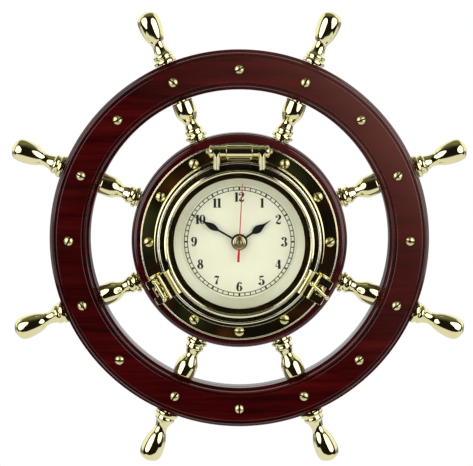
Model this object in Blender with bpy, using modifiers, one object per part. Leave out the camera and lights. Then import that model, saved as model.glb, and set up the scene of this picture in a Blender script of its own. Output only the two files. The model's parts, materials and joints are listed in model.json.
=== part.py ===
"""Ship wheel clock: a wood and brass ship's wheel whose hub carries a hinged brass porthole over a quartz dial.

The wall is the plane y = 0 and the clock faces -Y. Every piece is placed in the face frame, an empty at the wheel's
centre with x to the right, y up and z out of the wall. Heights below are measured along that z.
"""

from math import asin, cos, hypot, pi, radians, sin, sqrt

import bmesh
import bpy
from mathutils import Matrix

# Driving dimensions, in metres and degrees

GAP = 0.0003                    # play left between two pieces that meet

SPOKE_COUNT = 8
BALUSTER_LENGTH = 0.0332        # open space between the hub and the rim
RIM_WIDTH = 0.0309
RIM_THICKNESS = 0.022
RIM_SIDES = 48
BACK_CHAMFER = 0.0015           # broken edge at the back of the rim and of the hub
MOULDING_WIDTH = 0.0061         # moulded edge of the rim and of the hub
MOULDING_DROP = 0.0058
MOULDING_STEP = 0.0011
MOULDING_LEDGE = 0.0008

HUB_MARGIN = 0.0072             # hub outside the porthole's flange
HUB_THICKNESS = 0.025
POCKET_FLOOR = 0.006            # wood left behind the movement
POCKET_PLAY = 0.001

SPOKE_SIDES = 10
SHANK_RADIUS = 0.0045           # plain part of a spoke, inside the rim and the hub
TENON_LENGTH = 0.0172
HANDLE_LENGTH = 0.0424
HANDLE_TIP_LENGTH = 0.0096      # from the widest place of the grip to its tip
HANDLE_RADIUS = 0.0089
HANDLE_NECK_RADIUS = 0.0048
BULB_RADIUS = 0.0086            # widest place of the inner baluster
BULB_END_RADIUS = 0.0082
BULB_END_LENGTH = 0.0062
BULB_NECK_RADIUS = 0.0049
COLLAR_RADIUS = 0.0065          # plain collar against the hub
COLLAR_LENGTH = 0.0023
RING_RADIUS = 0.0089            # large and small ring at the foot of each turning
RING_LENGTH = 0.0030
SMALL_RING_RADIUS = 0.0075
SMALL_RING_LENGTH = 0.0034
RING_GROOVE_RADIUS = 0.0064
FLARE_LENGTH = 0.0064           # from the small ring to the neck

RIM_SCREW_COUNT = 16
RIM_SCREW_HEAD_RADIUS = 0.00365
RIM_SCREW_HEAD_HEIGHT = 0.0026
RIM_SCREW_SHANK_RADIUS = 0.0018
RIM_SCREW_LENGTH = 0.019
SCREW_SIDES = 8
HOLE_SIDES = 8
HOLE_TURN = 0.2                 # radians; keeps the corners of a screw hole off the wheel's own corners
HOLE_PLAY = 0.0004              # radial play of a screw in its hole
SLOT_WIDTH = 0.0009
SLOT_DEPTH = 0.0009
SLOT_TURN = 137.5               # each screw head stands this much further round than the last

RING_SIDES = 36
FLANGE_RADIUS = 0.0765
FLANGE_THICKNESS = 0.003
FLANGE_EDGE = 0.0009            # rounding of the flange's outer edge
FLANGE_SCREW_INSET = 0.0067     # from the flange's edge
FLANGE_SCREW_STEP = 30          # degrees; the hinge and the two dogs take three of the twelve places
FLANGE_SCREW_HEAD_RADIUS = 0.0036
FLANGE_SCREW_HEAD_HEIGHT = 0.0022
FLANGE_SCREW_SHANK_RADIUS = 0.0016
FLANGE_SCREW_LENGTH = 0.014
FLANGE_WIDTH = 0.0114           # flat of the flange outside the collar
COLLAR_WALL = 0.0046            # upstanding collar of the porthole body
COLLAR_HEIGHT = 0.0101          # above the flange
COLLAR_BEAD = 0.0010
LEDGE_WIDTH = 0.0079            # the sash rests on this ledge inside the collar
LEDGE_DEPTH = 0.0024

SASH_PLAY = 0.0032              # groove between the sash and the collar
SASH_WIDTH = 0.0072
SASH_HEIGHT = 0.0065
SASH_BEAD_WIDTH = 0.0031
SASH_LIP_THICKNESS = 0.0007
GLASS_LAP = 0.0030              # glass behind the sash's lip
GLASS_THICKNESS = 0.0017
GLASS_RING_WIDTH = 0.0027
GLASS_RING_THICKNESS = 0.001

BARREL_PLAY = 0.0004            # between the hinge barrel and the collar
HINGE_RISE = 0.0097             # hinge axis above the flange
BARREL_RADIUS = 0.0049
BARREL_LENGTH = 0.0194
BARREL_END_RADIUS = 0.0044
BARREL_END_LENGTH = 0.0051
HINGE_BLOCK_WIDTH = 0.018
HINGE_PIN_RADIUS = 0.002
ARM_WIDTH = 0.0045
ARM_THICKNESS = 0.0036
EYE_RADIUS = 0.0044
ACORN_RADIUS = 0.0044
ACORN_LENGTH = 0.0033
ACORN_TIP_LENGTH = 0.0022
PIN_SIDES = 10

DOG_ANGLES = {"right": 120.0, "left": 240.0}
TBAR_TURNS = {"right": 13.0, "left": 90.0}    # degrees that each T-bar stands off its slot
DOG_PLAY = 0.0015               # between the ears and the collar
DOG_PIVOT_RISE = 0.0047         # bolt pivot above the flange
LUG_WIDTH = 0.020
LUG_OVERHANG = 0.0081           # sash lugs beyond the swing bolts
LUG_THICKNESS = 0.0038
LUG_RECESS_DEPTH = 0.0013
LUG_RECESS_LENGTH = 0.0038
LUG_RECESS_EDGE = 0.0025
LUG_ROUNDING = 0.0012
SWING_SLOT_WIDTH = 0.0082
EAR_RADIUS = 0.0038
EAR_THICKNESS = 0.0043
BOLT_RADIUS = 0.002
BOLT_EYE_RADIUS = 0.0036
BOLT_EYE_WIDTH = 0.0084
DOG_PIN_RADIUS = 0.0016
DOG_PIN_HEAD_RADIUS = 0.004
DOG_PIN_HEAD_LENGTH = 0.0016
NUT_RADIUS = 0.0033
NUT_SKIRT = 0.0014              # nut below the balls of its T-bar
NUT_DOME = 0.0012
TBAR_LENGTH = 0.0192
TBAR_WIDTH = 0.0034
TBAR_BALL_RADIUS = 0.0021

DIAL_LAP = 0.0024               # dial under the bezel ring
DIAL_THICKNESS = 0.0008
INSERT_PLAY = 0.0004            # between the bezel ring and the porthole's bore
INSERT_WIDTH = 0.0081
INSERT_HEIGHT = 0.0067
INSERT_LIP = 0.0005

CASE_DEPTH = 0.0156
CASE_WALL = 0.002
CASE_FRONT_WALL = 0.002
CASE_CORNER = 0.0025
COVER_THICKNESS = 0.0015
BATTERY_RADIUS = 0.007
BATTERY_LENGTH = 0.050
BATTERY_EDGE = 0.0093           # battery axis above the case's lower side
BATTERY_CONTACT_SPACE = 0.001   # between each end of the battery and the wall
BATTERY_PLAY = 0.0004
BATTERY_CAP_RADIUS = 0.0027
BATTERY_CAP_LENGTH = 0.001
KNOB_PLACE = (0.012, 0.010)
KNOB_RADIUS = 0.0055
KNOB_THICKNESS = 0.0022
KNOB_STEM_RADIUS = 0.0015
KNOB_STEM_LENGTH = 0.005
BUSH_RADIUS = 0.004
BUSH_RISE = 0.0017              # threaded bush above the dial
CENTRE_NUT_RADIUS = 0.0063
CENTRE_NUT_THICKNESS = 0.0014
ARBOR_RADIUS = 0.0011
HAND_THICKNESS = 0.0005
HAND_SPACING = 0.0011
HUB_CAP_RADIUS = 0.005
HUB_CAP_HEIGHT = 0.0025
HOUR_LENGTH = 0.0297
MINUTE_MARGIN = 0.0009          # minute hand short of the bezel ring
SECOND_OVERLAP = 0.0013         # second hand past the bezel ring's inner edge
SECOND_TAIL = 0.0154
HOUR_ANGLE = 55.0               # ten to two, as the hands stand
MINUTE_ANGLE = 300.0
SECOND_ANGLE = 3.0

HANGER_INSET = 0.0237           # hanger plate below the hub's top edge
HANGER_LENGTH = 0.040
HANGER_WIDTH = 0.009
HANGER_THICKNESS = 0.001
HANGER_BOW = 0.0013             # how far the middle of the plate stands off its ends
HANGER_RECESS_DEPTH = 0.003
HANGER_SCREW_INSET = 0.004      # from each end of the hanger plate
HANGER_SCREW_HEAD_RADIUS = 0.0025
HANGER_SCREW_HEAD_HEIGHT = 0.001
HANGER_SCREW_SHANK_RADIUS = 0.0012
HANGER_SCREW_LENGTH = 0.008

# Heights and places that follow from them

HUB_RADIUS = FLANGE_RADIUS + HUB_MARGIN
RIM_INNER_RADIUS = HUB_RADIUS + BALUSTER_LENGTH
RIM_RADIUS = RIM_INNER_RADIUS + RIM_WIDTH
RIM_SCREW_CIRCLE = RIM_RADIUS - RIM_WIDTH / 2
SPOKE_HEIGHT = RIM_THICKNESS / 2
SPOKE_PITCH = 360.0 / SPOKE_COUNT
FLANGE_SCREW_CIRCLE = FLANGE_RADIUS - FLANGE_SCREW_INSET
COLLAR_OUTER_RADIUS = FLANGE_RADIUS - FLANGE_WIDTH
COLLAR_INNER_RADIUS = COLLAR_OUTER_RADIUS - COLLAR_WALL
BORE_RADIUS = COLLAR_INNER_RADIUS - LEDGE_WIDTH
SASH_RADIUS = COLLAR_INNER_RADIUS - SASH_PLAY
SASH_OPENING_RADIUS = SASH_RADIUS - SASH_WIDTH
GLASS_RADIUS = SASH_OPENING_RADIUS + GLASS_LAP
INSERT_OUTER_RADIUS = BORE_RADIUS - INSERT_PLAY
INSERT_INNER_RADIUS = INSERT_OUTER_RADIUS - INSERT_WIDTH
DIAL_RADIUS = INSERT_INNER_RADIUS + DIAL_LAP
MINUTE_LENGTH = INSERT_INNER_RADIUS - MINUTE_MARGIN
SECOND_LENGTH = INSERT_INNER_RADIUS + SECOND_OVERLAP
CASE_SIZE = BATTERY_LENGTH + 2 * (BATTERY_CONTACT_SPACE + CASE_WALL)
BATTERY_OFFSET = BATTERY_EDGE - CASE_SIZE / 2
HANGER_OFFSET = HUB_RADIUS - HANGER_INSET
HANGER_SCREW_SPACING = HANGER_LENGTH - 2 * HANGER_SCREW_INSET
HINGE_OFFSET = COLLAR_OUTER_RADIUS + BARREL_PLAY + BARREL_RADIUS
DOG_CIRCLE = COLLAR_OUTER_RADIUS + DOG_PLAY + EAR_RADIUS
LUG_REACH = DOG_CIRCLE + LUG_OVERHANG
FLANGE_BACK = HUB_THICKNESS + GAP
FLANGE_FRONT = FLANGE_BACK + FLANGE_THICKNESS
COLLAR_TOP = FLANGE_FRONT + COLLAR_HEIGHT
LEDGE = COLLAR_TOP - LEDGE_DEPTH
SASH_BACK = LEDGE + GAP
SASH_FRONT = SASH_BACK + SASH_HEIGHT
GLASS_RING_BACK = SASH_BACK + GAP
GLASS_BACK = GLASS_RING_BACK + GLASS_RING_THICKNESS + GAP
GLASS_FRONT = GLASS_BACK + GLASS_THICKNESS
LIP_BACK = GLASS_FRONT + GAP
HINGE_HEIGHT = FLANGE_FRONT + HINGE_RISE
ARM_BACK = COLLAR_TOP + 1.5 * GAP
ARM_INSIDE = BARREL_LENGTH / 2 + BARREL_END_LENGTH + GAP
ARM_OUTSIDE = ARM_INSIDE + ARM_WIDTH
LUG_FRONT = ARM_BACK + LUG_THICKNESS
DOG_PIVOT_HEIGHT = FLANGE_FRONT + DOG_PIVOT_RISE
EAR_INSIDE = BOLT_EYE_WIDTH / 2 + GAP
EAR_OUTSIDE = EAR_INSIDE + EAR_THICKNESS
# A bolt swings out with its nut slack, so the balls of the T-bar pass over the ends of the lug's prongs.
PRONG_SWEEP = LUG_ROUNDING + hypot(
    LUG_REACH - LUG_ROUNDING - DOG_CIRCLE, LUG_FRONT - LUG_ROUNDING - DOG_PIVOT_HEIGHT,
)
TBAR_HEIGHT = DOG_PIVOT_HEIGHT + PRONG_SWEEP + GAP + TBAR_BALL_RADIUS
SWING_SLOT_END = DOG_CIRCLE - NUT_RADIUS - 2 * GAP
DIAL_BACK = HUB_THICKNESS + GAP
DIAL_FRONT = DIAL_BACK + DIAL_THICKNESS
CASE_FRONT = HUB_THICKNESS
CASE_BACK = CASE_FRONT - CASE_DEPTH
BUSH_TOP = DIAL_FRONT + BUSH_RISE
HOUR_BACK = BUSH_TOP + GAP
MINUTE_BACK = HOUR_BACK + HAND_SPACING
SECOND_BACK = MINUTE_BACK + HAND_SPACING
ARBOR_TOP = SECOND_BACK + HUB_CAP_HEIGHT / 2


# Scene and helpers

for leftover in list(bpy.data.objects):
    bpy.data.objects.remove(leftover)

parts = bpy.data.collections.new("ship_wheel_clock")
cutters = bpy.data.collections.new("cutters")
bpy.context.scene.collection.children.link(parts)
bpy.context.scene.collection.children.link(cutters)


def material(name, color, roughness, metallic=0.0, alpha=1.0):
    look = bpy.data.materials.new(name)
    look.use_nodes = True
    shader = look.node_tree.nodes["Principled BSDF"]
    shader.inputs["Base Color"].default_value = (*color, 1.0)
    shader.inputs["Roughness"].default_value = roughness
    shader.inputs["Metallic"].default_value = metallic
    shader.inputs["Alpha"].default_value = alpha
    return look


def frame(name, parent=None, location=(0, 0, 0), rotation=(0, 0, 0)):
    """Add an empty that other pieces are placed in."""
    empty = bpy.data.objects.new(name, None)
    parts.objects.link(empty)
    empty.parent = parent
    empty.location = location
    empty.rotation_euler = rotation
    return empty


face = frame("face", rotation=(pi / 2, 0, 0))


def add_piece(name, mesh, look, parent=face, location=(0, 0, 0), rotation=(0, 0, 0)):
    piece = bpy.data.objects.new(name, mesh)
    parts.objects.link(piece)
    piece.parent = parent
    piece.location = location
    piece.rotation_euler = rotation
    if look is not None:
        mesh.materials.append(look)
    return piece


def as_cutter(piece):
    """Move a shape to the cutters, so that it only cuts or joins other pieces."""
    parts.objects.unlink(piece)
    cutters.objects.link(piece)
    piece.hide_render = True
    piece.display_type = "WIRE"
    return piece


def turned(name, profile, sides, look, closed=False, **place):
    """Turn a profile of (radius, height) points, which runs down its outer side, around its own z axis."""
    count = len(profile)
    edges = [(index, index + 1) for index in range(count - 1)]
    if closed:
        edges.append((count - 1, 0))
    mesh = bpy.data.meshes.new(name)
    mesh.from_pydata([(radius, 0.0, height) for radius, height in profile], edges, [])
    piece = add_piece(name, mesh, look, **place)
    screw = piece.modifiers.new("Turn", "SCREW")
    screw.steps = sides
    screw.render_steps = sides
    screw.use_merge_vertices = True
    screw.merge_threshold = 0.00001
    return piece


def rods(name, radius, low, high, placements, sides, parent=face, turn=0.0):
    """One shape of equal rods along z, from low to high, one for each placement matrix."""
    shape = bmesh.new()
    middle = Matrix.Translation((0, 0, (low + high) / 2))
    first_corner_on_x = Matrix.Rotation(pi / 2 + turn, 4, "Z")
    for placement in placements:
        bmesh.ops.create_cone(
            shape, cap_ends=True, segments=sides, radius1=radius, radius2=radius,
            depth=high - low, matrix=placement @ middle @ first_corner_on_x,
        )
    return shape_to_piece(name, shape, parent)


def blocks(name, boxes, parent=face):
    """One shape of separate blocks, each given by its low and its high corner."""
    shape = bmesh.new()
    for low, high in boxes:
        size = [high[axis] - low[axis] for axis in range(3)]
        centre = [(high[axis] + low[axis]) / 2 for axis in range(3)]
        placement = Matrix.Translation(centre) @ Matrix.Diagonal((*size, 1.0))
        bmesh.ops.create_cube(shape, size=1.0, matrix=placement)
    return shape_to_piece(name, shape, parent)


def shape_to_piece(name, shape, parent):
    mesh = bpy.data.meshes.new(name)
    shape.to_mesh(mesh)
    shape.free()
    return add_piece(name, mesh, None, parent=parent)


def combine(piece, other, operation):
    boolean = piece.modifiers.new(operation.title(), "BOOLEAN")
    boolean.operation = operation
    boolean.solver = "EXACT"
    boolean.object = other


def cut(piece, *others):
    for other in others:
        combine(piece, as_cutter(other), "DIFFERENCE")


def join(piece, *others):
    for other in others:
        combine(piece, as_cutter(other), "UNION")


def rounded(piece, width, segments=2):
    bevel = piece.modifiers.new("Round", "BEVEL")
    bevel.width = width
    bevel.segments = segments


def settle(piece, sharp_angle=35):
    """Apply the modifiers of a piece and shade its round faces smooth."""
    bpy.context.view_layer.update()
    graph = bpy.context.evaluated_depsgraph_get()
    mesh = bpy.data.meshes.new_from_object(piece.evaluated_get(graph))
    piece.modifiers.clear()
    piece.data = mesh
    mesh.name = piece.name
    mesh.shade_smooth()
    mesh.set_sharp_from_angle(angle=radians(sharp_angle))
    return piece


def plate(name, outline, holes, low, high, look, **place):
    """A flat piece from an outline in the xy plane, with holes given as (x, y, radius)."""
    curve = bpy.data.curves.new(name, "CURVE")
    curve.dimensions = "2D"
    curve.fill_mode = "BOTH"
    curve.extrude = (high - low) / 2
    rings = [outline] + [circle(radius, HOLE_SIDES + 2, x, y) for x, y, radius in holes]
    for ring in rings:
        spline = curve.splines.new("POLY")
        spline.points.add(len(ring) - 1)
        for point, (x, y) in zip(spline.points, ring):
            point.co = (x, y, 0.0, 1.0)
        spline.use_cyclic_u = True
    drawn = bpy.data.objects.new(name + "_outline", curve)
    parts.objects.link(drawn)
    bpy.context.view_layer.update()
    graph = bpy.context.evaluated_depsgraph_get()
    mesh = bpy.data.meshes.new_from_object(drawn.evaluated_get(graph))
    bpy.data.objects.remove(drawn)
    shape = bmesh.new()
    shape.from_mesh(mesh)
    bmesh.ops.remove_doubles(shape, verts=shape.verts, dist=0.000001)
    bmesh.ops.translate(shape, verts=shape.verts, vec=(0, 0, (low + high) / 2))
    shape.to_mesh(mesh)
    shape.free()
    return add_piece(name, mesh, look, **place)


def circle(radius, sides, x=0.0, y=0.0):
    steps = [2 * pi * index / sides for index in range(sides)]
    return [(x + radius * cos(step), y + radius * sin(step)) for step in steps]


def around(angle, radius):
    """A place in the face frame, by its clockwise angle from the top and its distance from the centre."""
    return radius * sin(radians(angle)), radius * cos(radians(angle))


def upright(places):
    return [Matrix.Translation((x, y, 0.0)) for x, y in places]


def sideways(y, z, x=0.0):
    """Placement of a rod that lies along x."""
    return Matrix.Translation((x, y, z)) @ Matrix.Rotation(pi / 2, 4, "Y")


def outward(angle):
    """Placement of a rod that lies along a spoke, with its z from the wheel's centre."""
    turn = Matrix.Rotation(-radians(angle), 4, "Z") @ Matrix.Rotation(-pi / 2, 4, "X")
    return Matrix.Translation((0, 0, SPOKE_HEIGHT)) @ turn


mahogany = material("mahogany", (0.16, 0.018, 0.014), 0.25)
brass = material("brass", (0.72, 0.58, 0.28), 0.15, 1.0)
glass_look = material("glass", (0.95, 0.97, 0.97), 0.03, 0.0, 0.25)
dial_look = material("dial_cream", (0.86, 0.83, 0.66), 0.5)
black = material("black_enamel", (0.01, 0.01, 0.01), 0.4)
red = material("red_enamel", (0.55, 0.02, 0.02), 0.4)
plastic = material("black_plastic", (0.03, 0.03, 0.032), 0.5)
battery_look = material("battery_jacket", (0.08, 0.16, 0.12), 0.4)
steel = material("steel", (0.55, 0.55, 0.56), 0.35, 1.0)

spoke_angles = [SPOKE_PITCH * (index + 0.5) for index in range(SPOKE_COUNT)]
rim_screw_angles = [360.0 * index / RIM_SCREW_COUNT for index in range(RIM_SCREW_COUNT)]
rim_screw_places = [around(angle, RIM_SCREW_CIRCLE) for angle in rim_screw_angles]
flange_screw_angles = [
    angle for angle in range(0, 360, FLANGE_SCREW_STEP) if angle not in (0, *DOG_ANGLES.values())
]
flange_screw_places = [around(angle, FLANGE_SCREW_CIRCLE) for angle in flange_screw_angles]


# Wheel rim and hub

def moulding(edge_radius, front, outwards):
    """Points of a moulded edge, from the flat front to the edge: a step, a quarter round and a ledge."""
    round_width = MOULDING_WIDTH - 2 * MOULDING_LEDGE
    round_drop = MOULDING_DROP - MOULDING_STEP - MOULDING_LEDGE
    start = edge_radius - outwards * MOULDING_WIDTH
    points = [(start, front), (start, front - MOULDING_STEP)]
    for angle in (0, 45, 90):
        across = MOULDING_LEDGE + round_width * sin(radians(angle))
        down = MOULDING_STEP + round_drop * (1 - cos(radians(angle)))
        points.append((start + outwards * across, front - down))
    points.append((edge_radius, front - MOULDING_DROP))
    return points


def wheel_grooves(name):
    """Half-round grooves that the spokes lie in, as full rods along the spokes."""
    low = RIM_INNER_RADIUS - RIM_WIDTH / 4
    high = RIM_RADIUS + RIM_WIDTH / 4
    return rods(name, SHANK_RADIUS + GAP, low, high, [outward(a) for a in spoke_angles], SPOKE_SIDES)


def rim_front():
    joint = SPOKE_HEIGHT + GAP / 2
    outer = moulding(RIM_RADIUS, RIM_THICKNESS, 1)
    inner = moulding(RIM_INNER_RADIUS, RIM_THICKNESS, -1)
    profile = outer + [(RIM_RADIUS, joint), (RIM_INNER_RADIUS, joint)] + inner[::-1]
    ring = turned("rim_front", profile, RIM_SIDES, mahogany, closed=True)
    holes = rods(
        "rim_front_holes", RIM_SCREW_SHANK_RADIUS + HOLE_PLAY, 0.0, 2 * RIM_THICKNESS,
        upright(rim_screw_places), HOLE_SIDES, turn=HOLE_TURN,
    )
    cut(ring, wheel_grooves("rim_front_grooves"), holes)
    settle(ring)


def rim_back():
    joint = SPOKE_HEIGHT - GAP / 2
    profile = [
        (RIM_RADIUS, joint),
        (RIM_RADIUS, BACK_CHAMFER),
        (RIM_RADIUS - BACK_CHAMFER, 0.0),
        (RIM_INNER_RADIUS + BACK_CHAMFER, 0.0),
        (RIM_INNER_RADIUS, BACK_CHAMFER),
        (RIM_INNER_RADIUS, joint),
    ]
    ring = turned("rim_back", profile, RIM_SIDES, mahogany, closed=True)
    screw_end = RIM_THICKNESS + GAP - RIM_SCREW_LENGTH
    holes = rods(
        "rim_back_holes", RIM_SCREW_SHANK_RADIUS + HOLE_PLAY, screw_end - HOLE_PLAY, RIM_THICKNESS,
        upright(rim_screw_places), HOLE_SIDES, turn=HOLE_TURN,
    )
    cut(ring, wheel_grooves("rim_back_grooves"), holes)
    settle(ring)


def hub():
    edge = moulding(HUB_RADIUS, HUB_THICKNESS, 1)
    profile = [(0.0, HUB_THICKNESS)] + edge
    profile += [(HUB_RADIUS, BACK_CHAMFER), (HUB_RADIUS - BACK_CHAMFER, 0.0), (0.0, 0.0)]
    disc = turned("hub", profile, RIM_SIDES, mahogany)
    half = CASE_SIZE / 2 + POCKET_PLAY
    pocket = blocks("hub_pocket", [((-half, -half, POCKET_FLOOR), (half, half, 2 * HUB_THICKNESS))])
    tenon_holes = rods(
        "hub_tenon_holes", SHANK_RADIUS + GAP, HUB_RADIUS - TENON_LENGTH - GAP, HUB_RADIUS + TENON_LENGTH,
        [outward(angle) for angle in spoke_angles], SPOKE_SIDES,
    )
    screw_end = FLANGE_FRONT + GAP - FLANGE_SCREW_LENGTH
    screw_holes = rods(
        "hub_screw_holes", FLANGE_SCREW_SHANK_RADIUS + HOLE_PLAY, screw_end - HOLE_PLAY, 2 * HUB_THICKNESS,
        upright(flange_screw_places), HOLE_SIDES, turn=HOLE_TURN,
    )
    reach = HANGER_LENGTH / 2 + POCKET_PLAY
    rise = HANGER_WIDTH / 2 + POCKET_PLAY
    recess = blocks("hub_hanger_recess", [(
        (-reach, HANGER_OFFSET - rise, -HUB_THICKNESS),
        (reach, HANGER_OFFSET + rise, HANGER_RECESS_DEPTH),
    )])
    hanger_holes = rods(
        "hub_hanger_holes", HANGER_SCREW_SHANK_RADIUS + HOLE_PLAY, 0.0,
        HANGER_RECESS_DEPTH + HANGER_SCREW_LENGTH, upright(hanger_screw_places()), HOLE_SIDES,
    )
    cut(disc, pocket, tenon_holes, screw_holes, recess, hanger_holes)
    settle(disc)


def hanger_screw_places():
    return [(side * HANGER_SCREW_SPACING / 2, HANGER_OFFSET) for side in (-1, 1)]


# Spokes, each turned in one piece from tenon to grip

def swell(wide_place, wide_radius, neck_place, neck_radius, steps):
    """Points from the widest place of a turning to its neck, along a slow S."""
    points = []
    for index in range(1, steps):
        share = 1 - index / steps
        fullness = sin(share * pi / 2) ** 1.25
        place = neck_place + (wide_place - neck_place) * share
        points.append((neck_radius + (wide_radius - neck_radius) * fullness, place))
    points.append((neck_radius, neck_place))
    return points


def foot_rings(foot, neck_place, neck_radius):
    """Points from the neck of a turning down to its foot: a flare, the small ring and the large ring."""
    large_top = foot + RING_LENGTH
    small_top = large_top + SMALL_RING_LENGTH
    return [
        (neck_radius + (SMALL_RING_RADIUS - neck_radius) / 5, (neck_place + small_top) / 2),
        (SMALL_RING_RADIUS, small_top),
        (SMALL_RING_RADIUS, small_top - SMALL_RING_LENGTH * 0.65),
        (RING_GROOVE_RADIUS, large_top + GAP),
        (RING_RADIUS, large_top),
        (RING_RADIUS, foot),
    ]


def spoke_profile():
    foot = RIM_RADIUS + GAP
    tip = foot + HANDLE_LENGTH
    widest = tip - HANDLE_TIP_LENGTH
    neck = foot + RING_LENGTH + SMALL_RING_LENGTH + FLARE_LENGTH
    points = [(0.0, tip)]
    for angle in (60, 33, 0):
        round_place = widest + HANDLE_TIP_LENGTH * sin(radians(angle))
        points.append((HANDLE_RADIUS * cos(radians(angle)), round_place))
    points += swell(widest, HANDLE_RADIUS, neck, HANDLE_NECK_RADIUS, 4)
    points += foot_rings(foot, neck, HANDLE_NECK_RADIUS)
    flat_of_rim = RIM_INNER_RADIUS * cos(pi / RIM_SIDES)
    shoulder = sqrt(flat_of_rim ** 2 - BULB_END_RADIUS ** 2) - GAP
    points += [(SHANK_RADIUS, foot), (SHANK_RADIUS, shoulder), (BULB_END_RADIUS, shoulder)]
    inner_foot = HUB_RADIUS + GAP + COLLAR_LENGTH
    inner_neck = inner_foot + RING_LENGTH + SMALL_RING_LENGTH + FLARE_LENGTH * 0.7
    inner_widest = shoulder - BULB_END_LENGTH
    points.append((BULB_RADIUS, inner_widest))
    points += swell(inner_widest, BULB_RADIUS, inner_neck, BULB_NECK_RADIUS, 4)
    points += foot_rings(inner_foot, inner_neck, BULB_NECK_RADIUS)
    tenon_end = HUB_RADIUS - TENON_LENGTH
    points += [
        (COLLAR_RADIUS, inner_foot),
        (COLLAR_RADIUS, HUB_RADIUS + GAP),
        (SHANK_RADIUS, HUB_RADIUS + GAP),
        (SHANK_RADIUS, tenon_end + GAP),
        (0.0, tenon_end + GAP),
    ]
    return points


def spokes():
    first = turned("spoke_1", spoke_profile(), SPOKE_SIDES, brass)
    crosswise = Matrix.Translation((0, 0, RIM_SCREW_CIRCLE)) @ Matrix.Rotation(pi / 2, 4, "X")
    hole = rods(
        "spoke_hole", RIM_SCREW_SHANK_RADIUS + HOLE_PLAY, -2 * SHANK_RADIUS, 2 * SHANK_RADIUS,
        [crosswise], HOLE_SIDES, parent=first,
    )
    cut(first, hole)
    settle(first)
    for number, angle in enumerate(spoke_angles, start=1):
        if number == 1:
            spoke = first
        else:
            spoke = add_piece(f"spoke_{number}", first.data.copy(), None)
        spoke.location = (0, 0, SPOKE_HEIGHT)
        spoke.rotation_euler = (-pi / 2, 0, -radians(angle))


# Screws

def screw_mesh(name, head_radius, head_height, shank_radius, length, slotted=True):
    """A domed wood screw with its head's underside at z = 0."""
    profile = [
        (0.0, head_height),
        (head_radius * 0.66, head_height * 0.72),
        (head_radius, 0.0),
        (shank_radius, 0.0),
        (shank_radius, -length + shank_radius),
        (0.0, -length),
    ]
    screw = turned(name, profile, SCREW_SIDES, brass)
    if slotted:
        slot = blocks(name + "_slot", [(
            (-2 * head_radius, -SLOT_WIDTH / 2, head_height - SLOT_DEPTH),
            (2 * head_radius, SLOT_WIDTH / 2, 2 * head_height),
        )])
        cut(screw, slot)
    return settle(screw)


def screws(first_name, name, places, seat, **sizes):
    """Copies of one screw on a circle, their slots turned every way."""
    first = screw_mesh(first_name, **sizes)
    for index, (x, y) in enumerate(places):
        screw = first if index == 0 else add_piece(name.format(index + 1), first.data.copy(), None)
        screw.location = (x, y, seat)
        screw.rotation_euler = (0, 0, radians(SLOT_TURN * index))


# Porthole body: flange, collar, hinge barrel and two pairs of ears

def dog_frame(side, name):
    """Frame of one dog: x along the rim, y away from the wheel's centre, z out of the wall."""
    return frame(f"{name}_{side}", face, rotation=(0, 0, -radians(DOG_ANGLES[side])))


def ears(side):
    """The two ears that carry a swing bolt, with the gap that its eye sits in."""
    place = dog_frame(side, "ear_frame")
    root = FLANGE_FRONT - FLANGE_THICKNESS / 2
    knuckle = rods(
        f"ears_{side}", EAR_RADIUS, -EAR_OUTSIDE, EAR_OUTSIDE,
        [sideways(DOG_CIRCLE, DOG_PIVOT_HEIGHT)], PIN_SIDES, parent=place,
    )
    foot = blocks(f"ear_foot_{side}", [(
        (-EAR_OUTSIDE, DOG_CIRCLE - EAR_RADIUS, root),
        (EAR_OUTSIDE, DOG_CIRCLE + EAR_RADIUS, DOG_PIVOT_HEIGHT),
    )], parent=place)
    gap = blocks(f"ear_gap_{side}", [(
        (-EAR_INSIDE, DOG_CIRCLE - 2 * EAR_RADIUS, FLANGE_FRONT + GAP),
        (EAR_INSIDE, DOG_CIRCLE + 2 * EAR_RADIUS, DOG_PIVOT_HEIGHT + 2 * EAR_RADIUS),
    )], parent=place)
    join(knuckle, foot)
    cut(knuckle, gap)
    return knuckle


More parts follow.
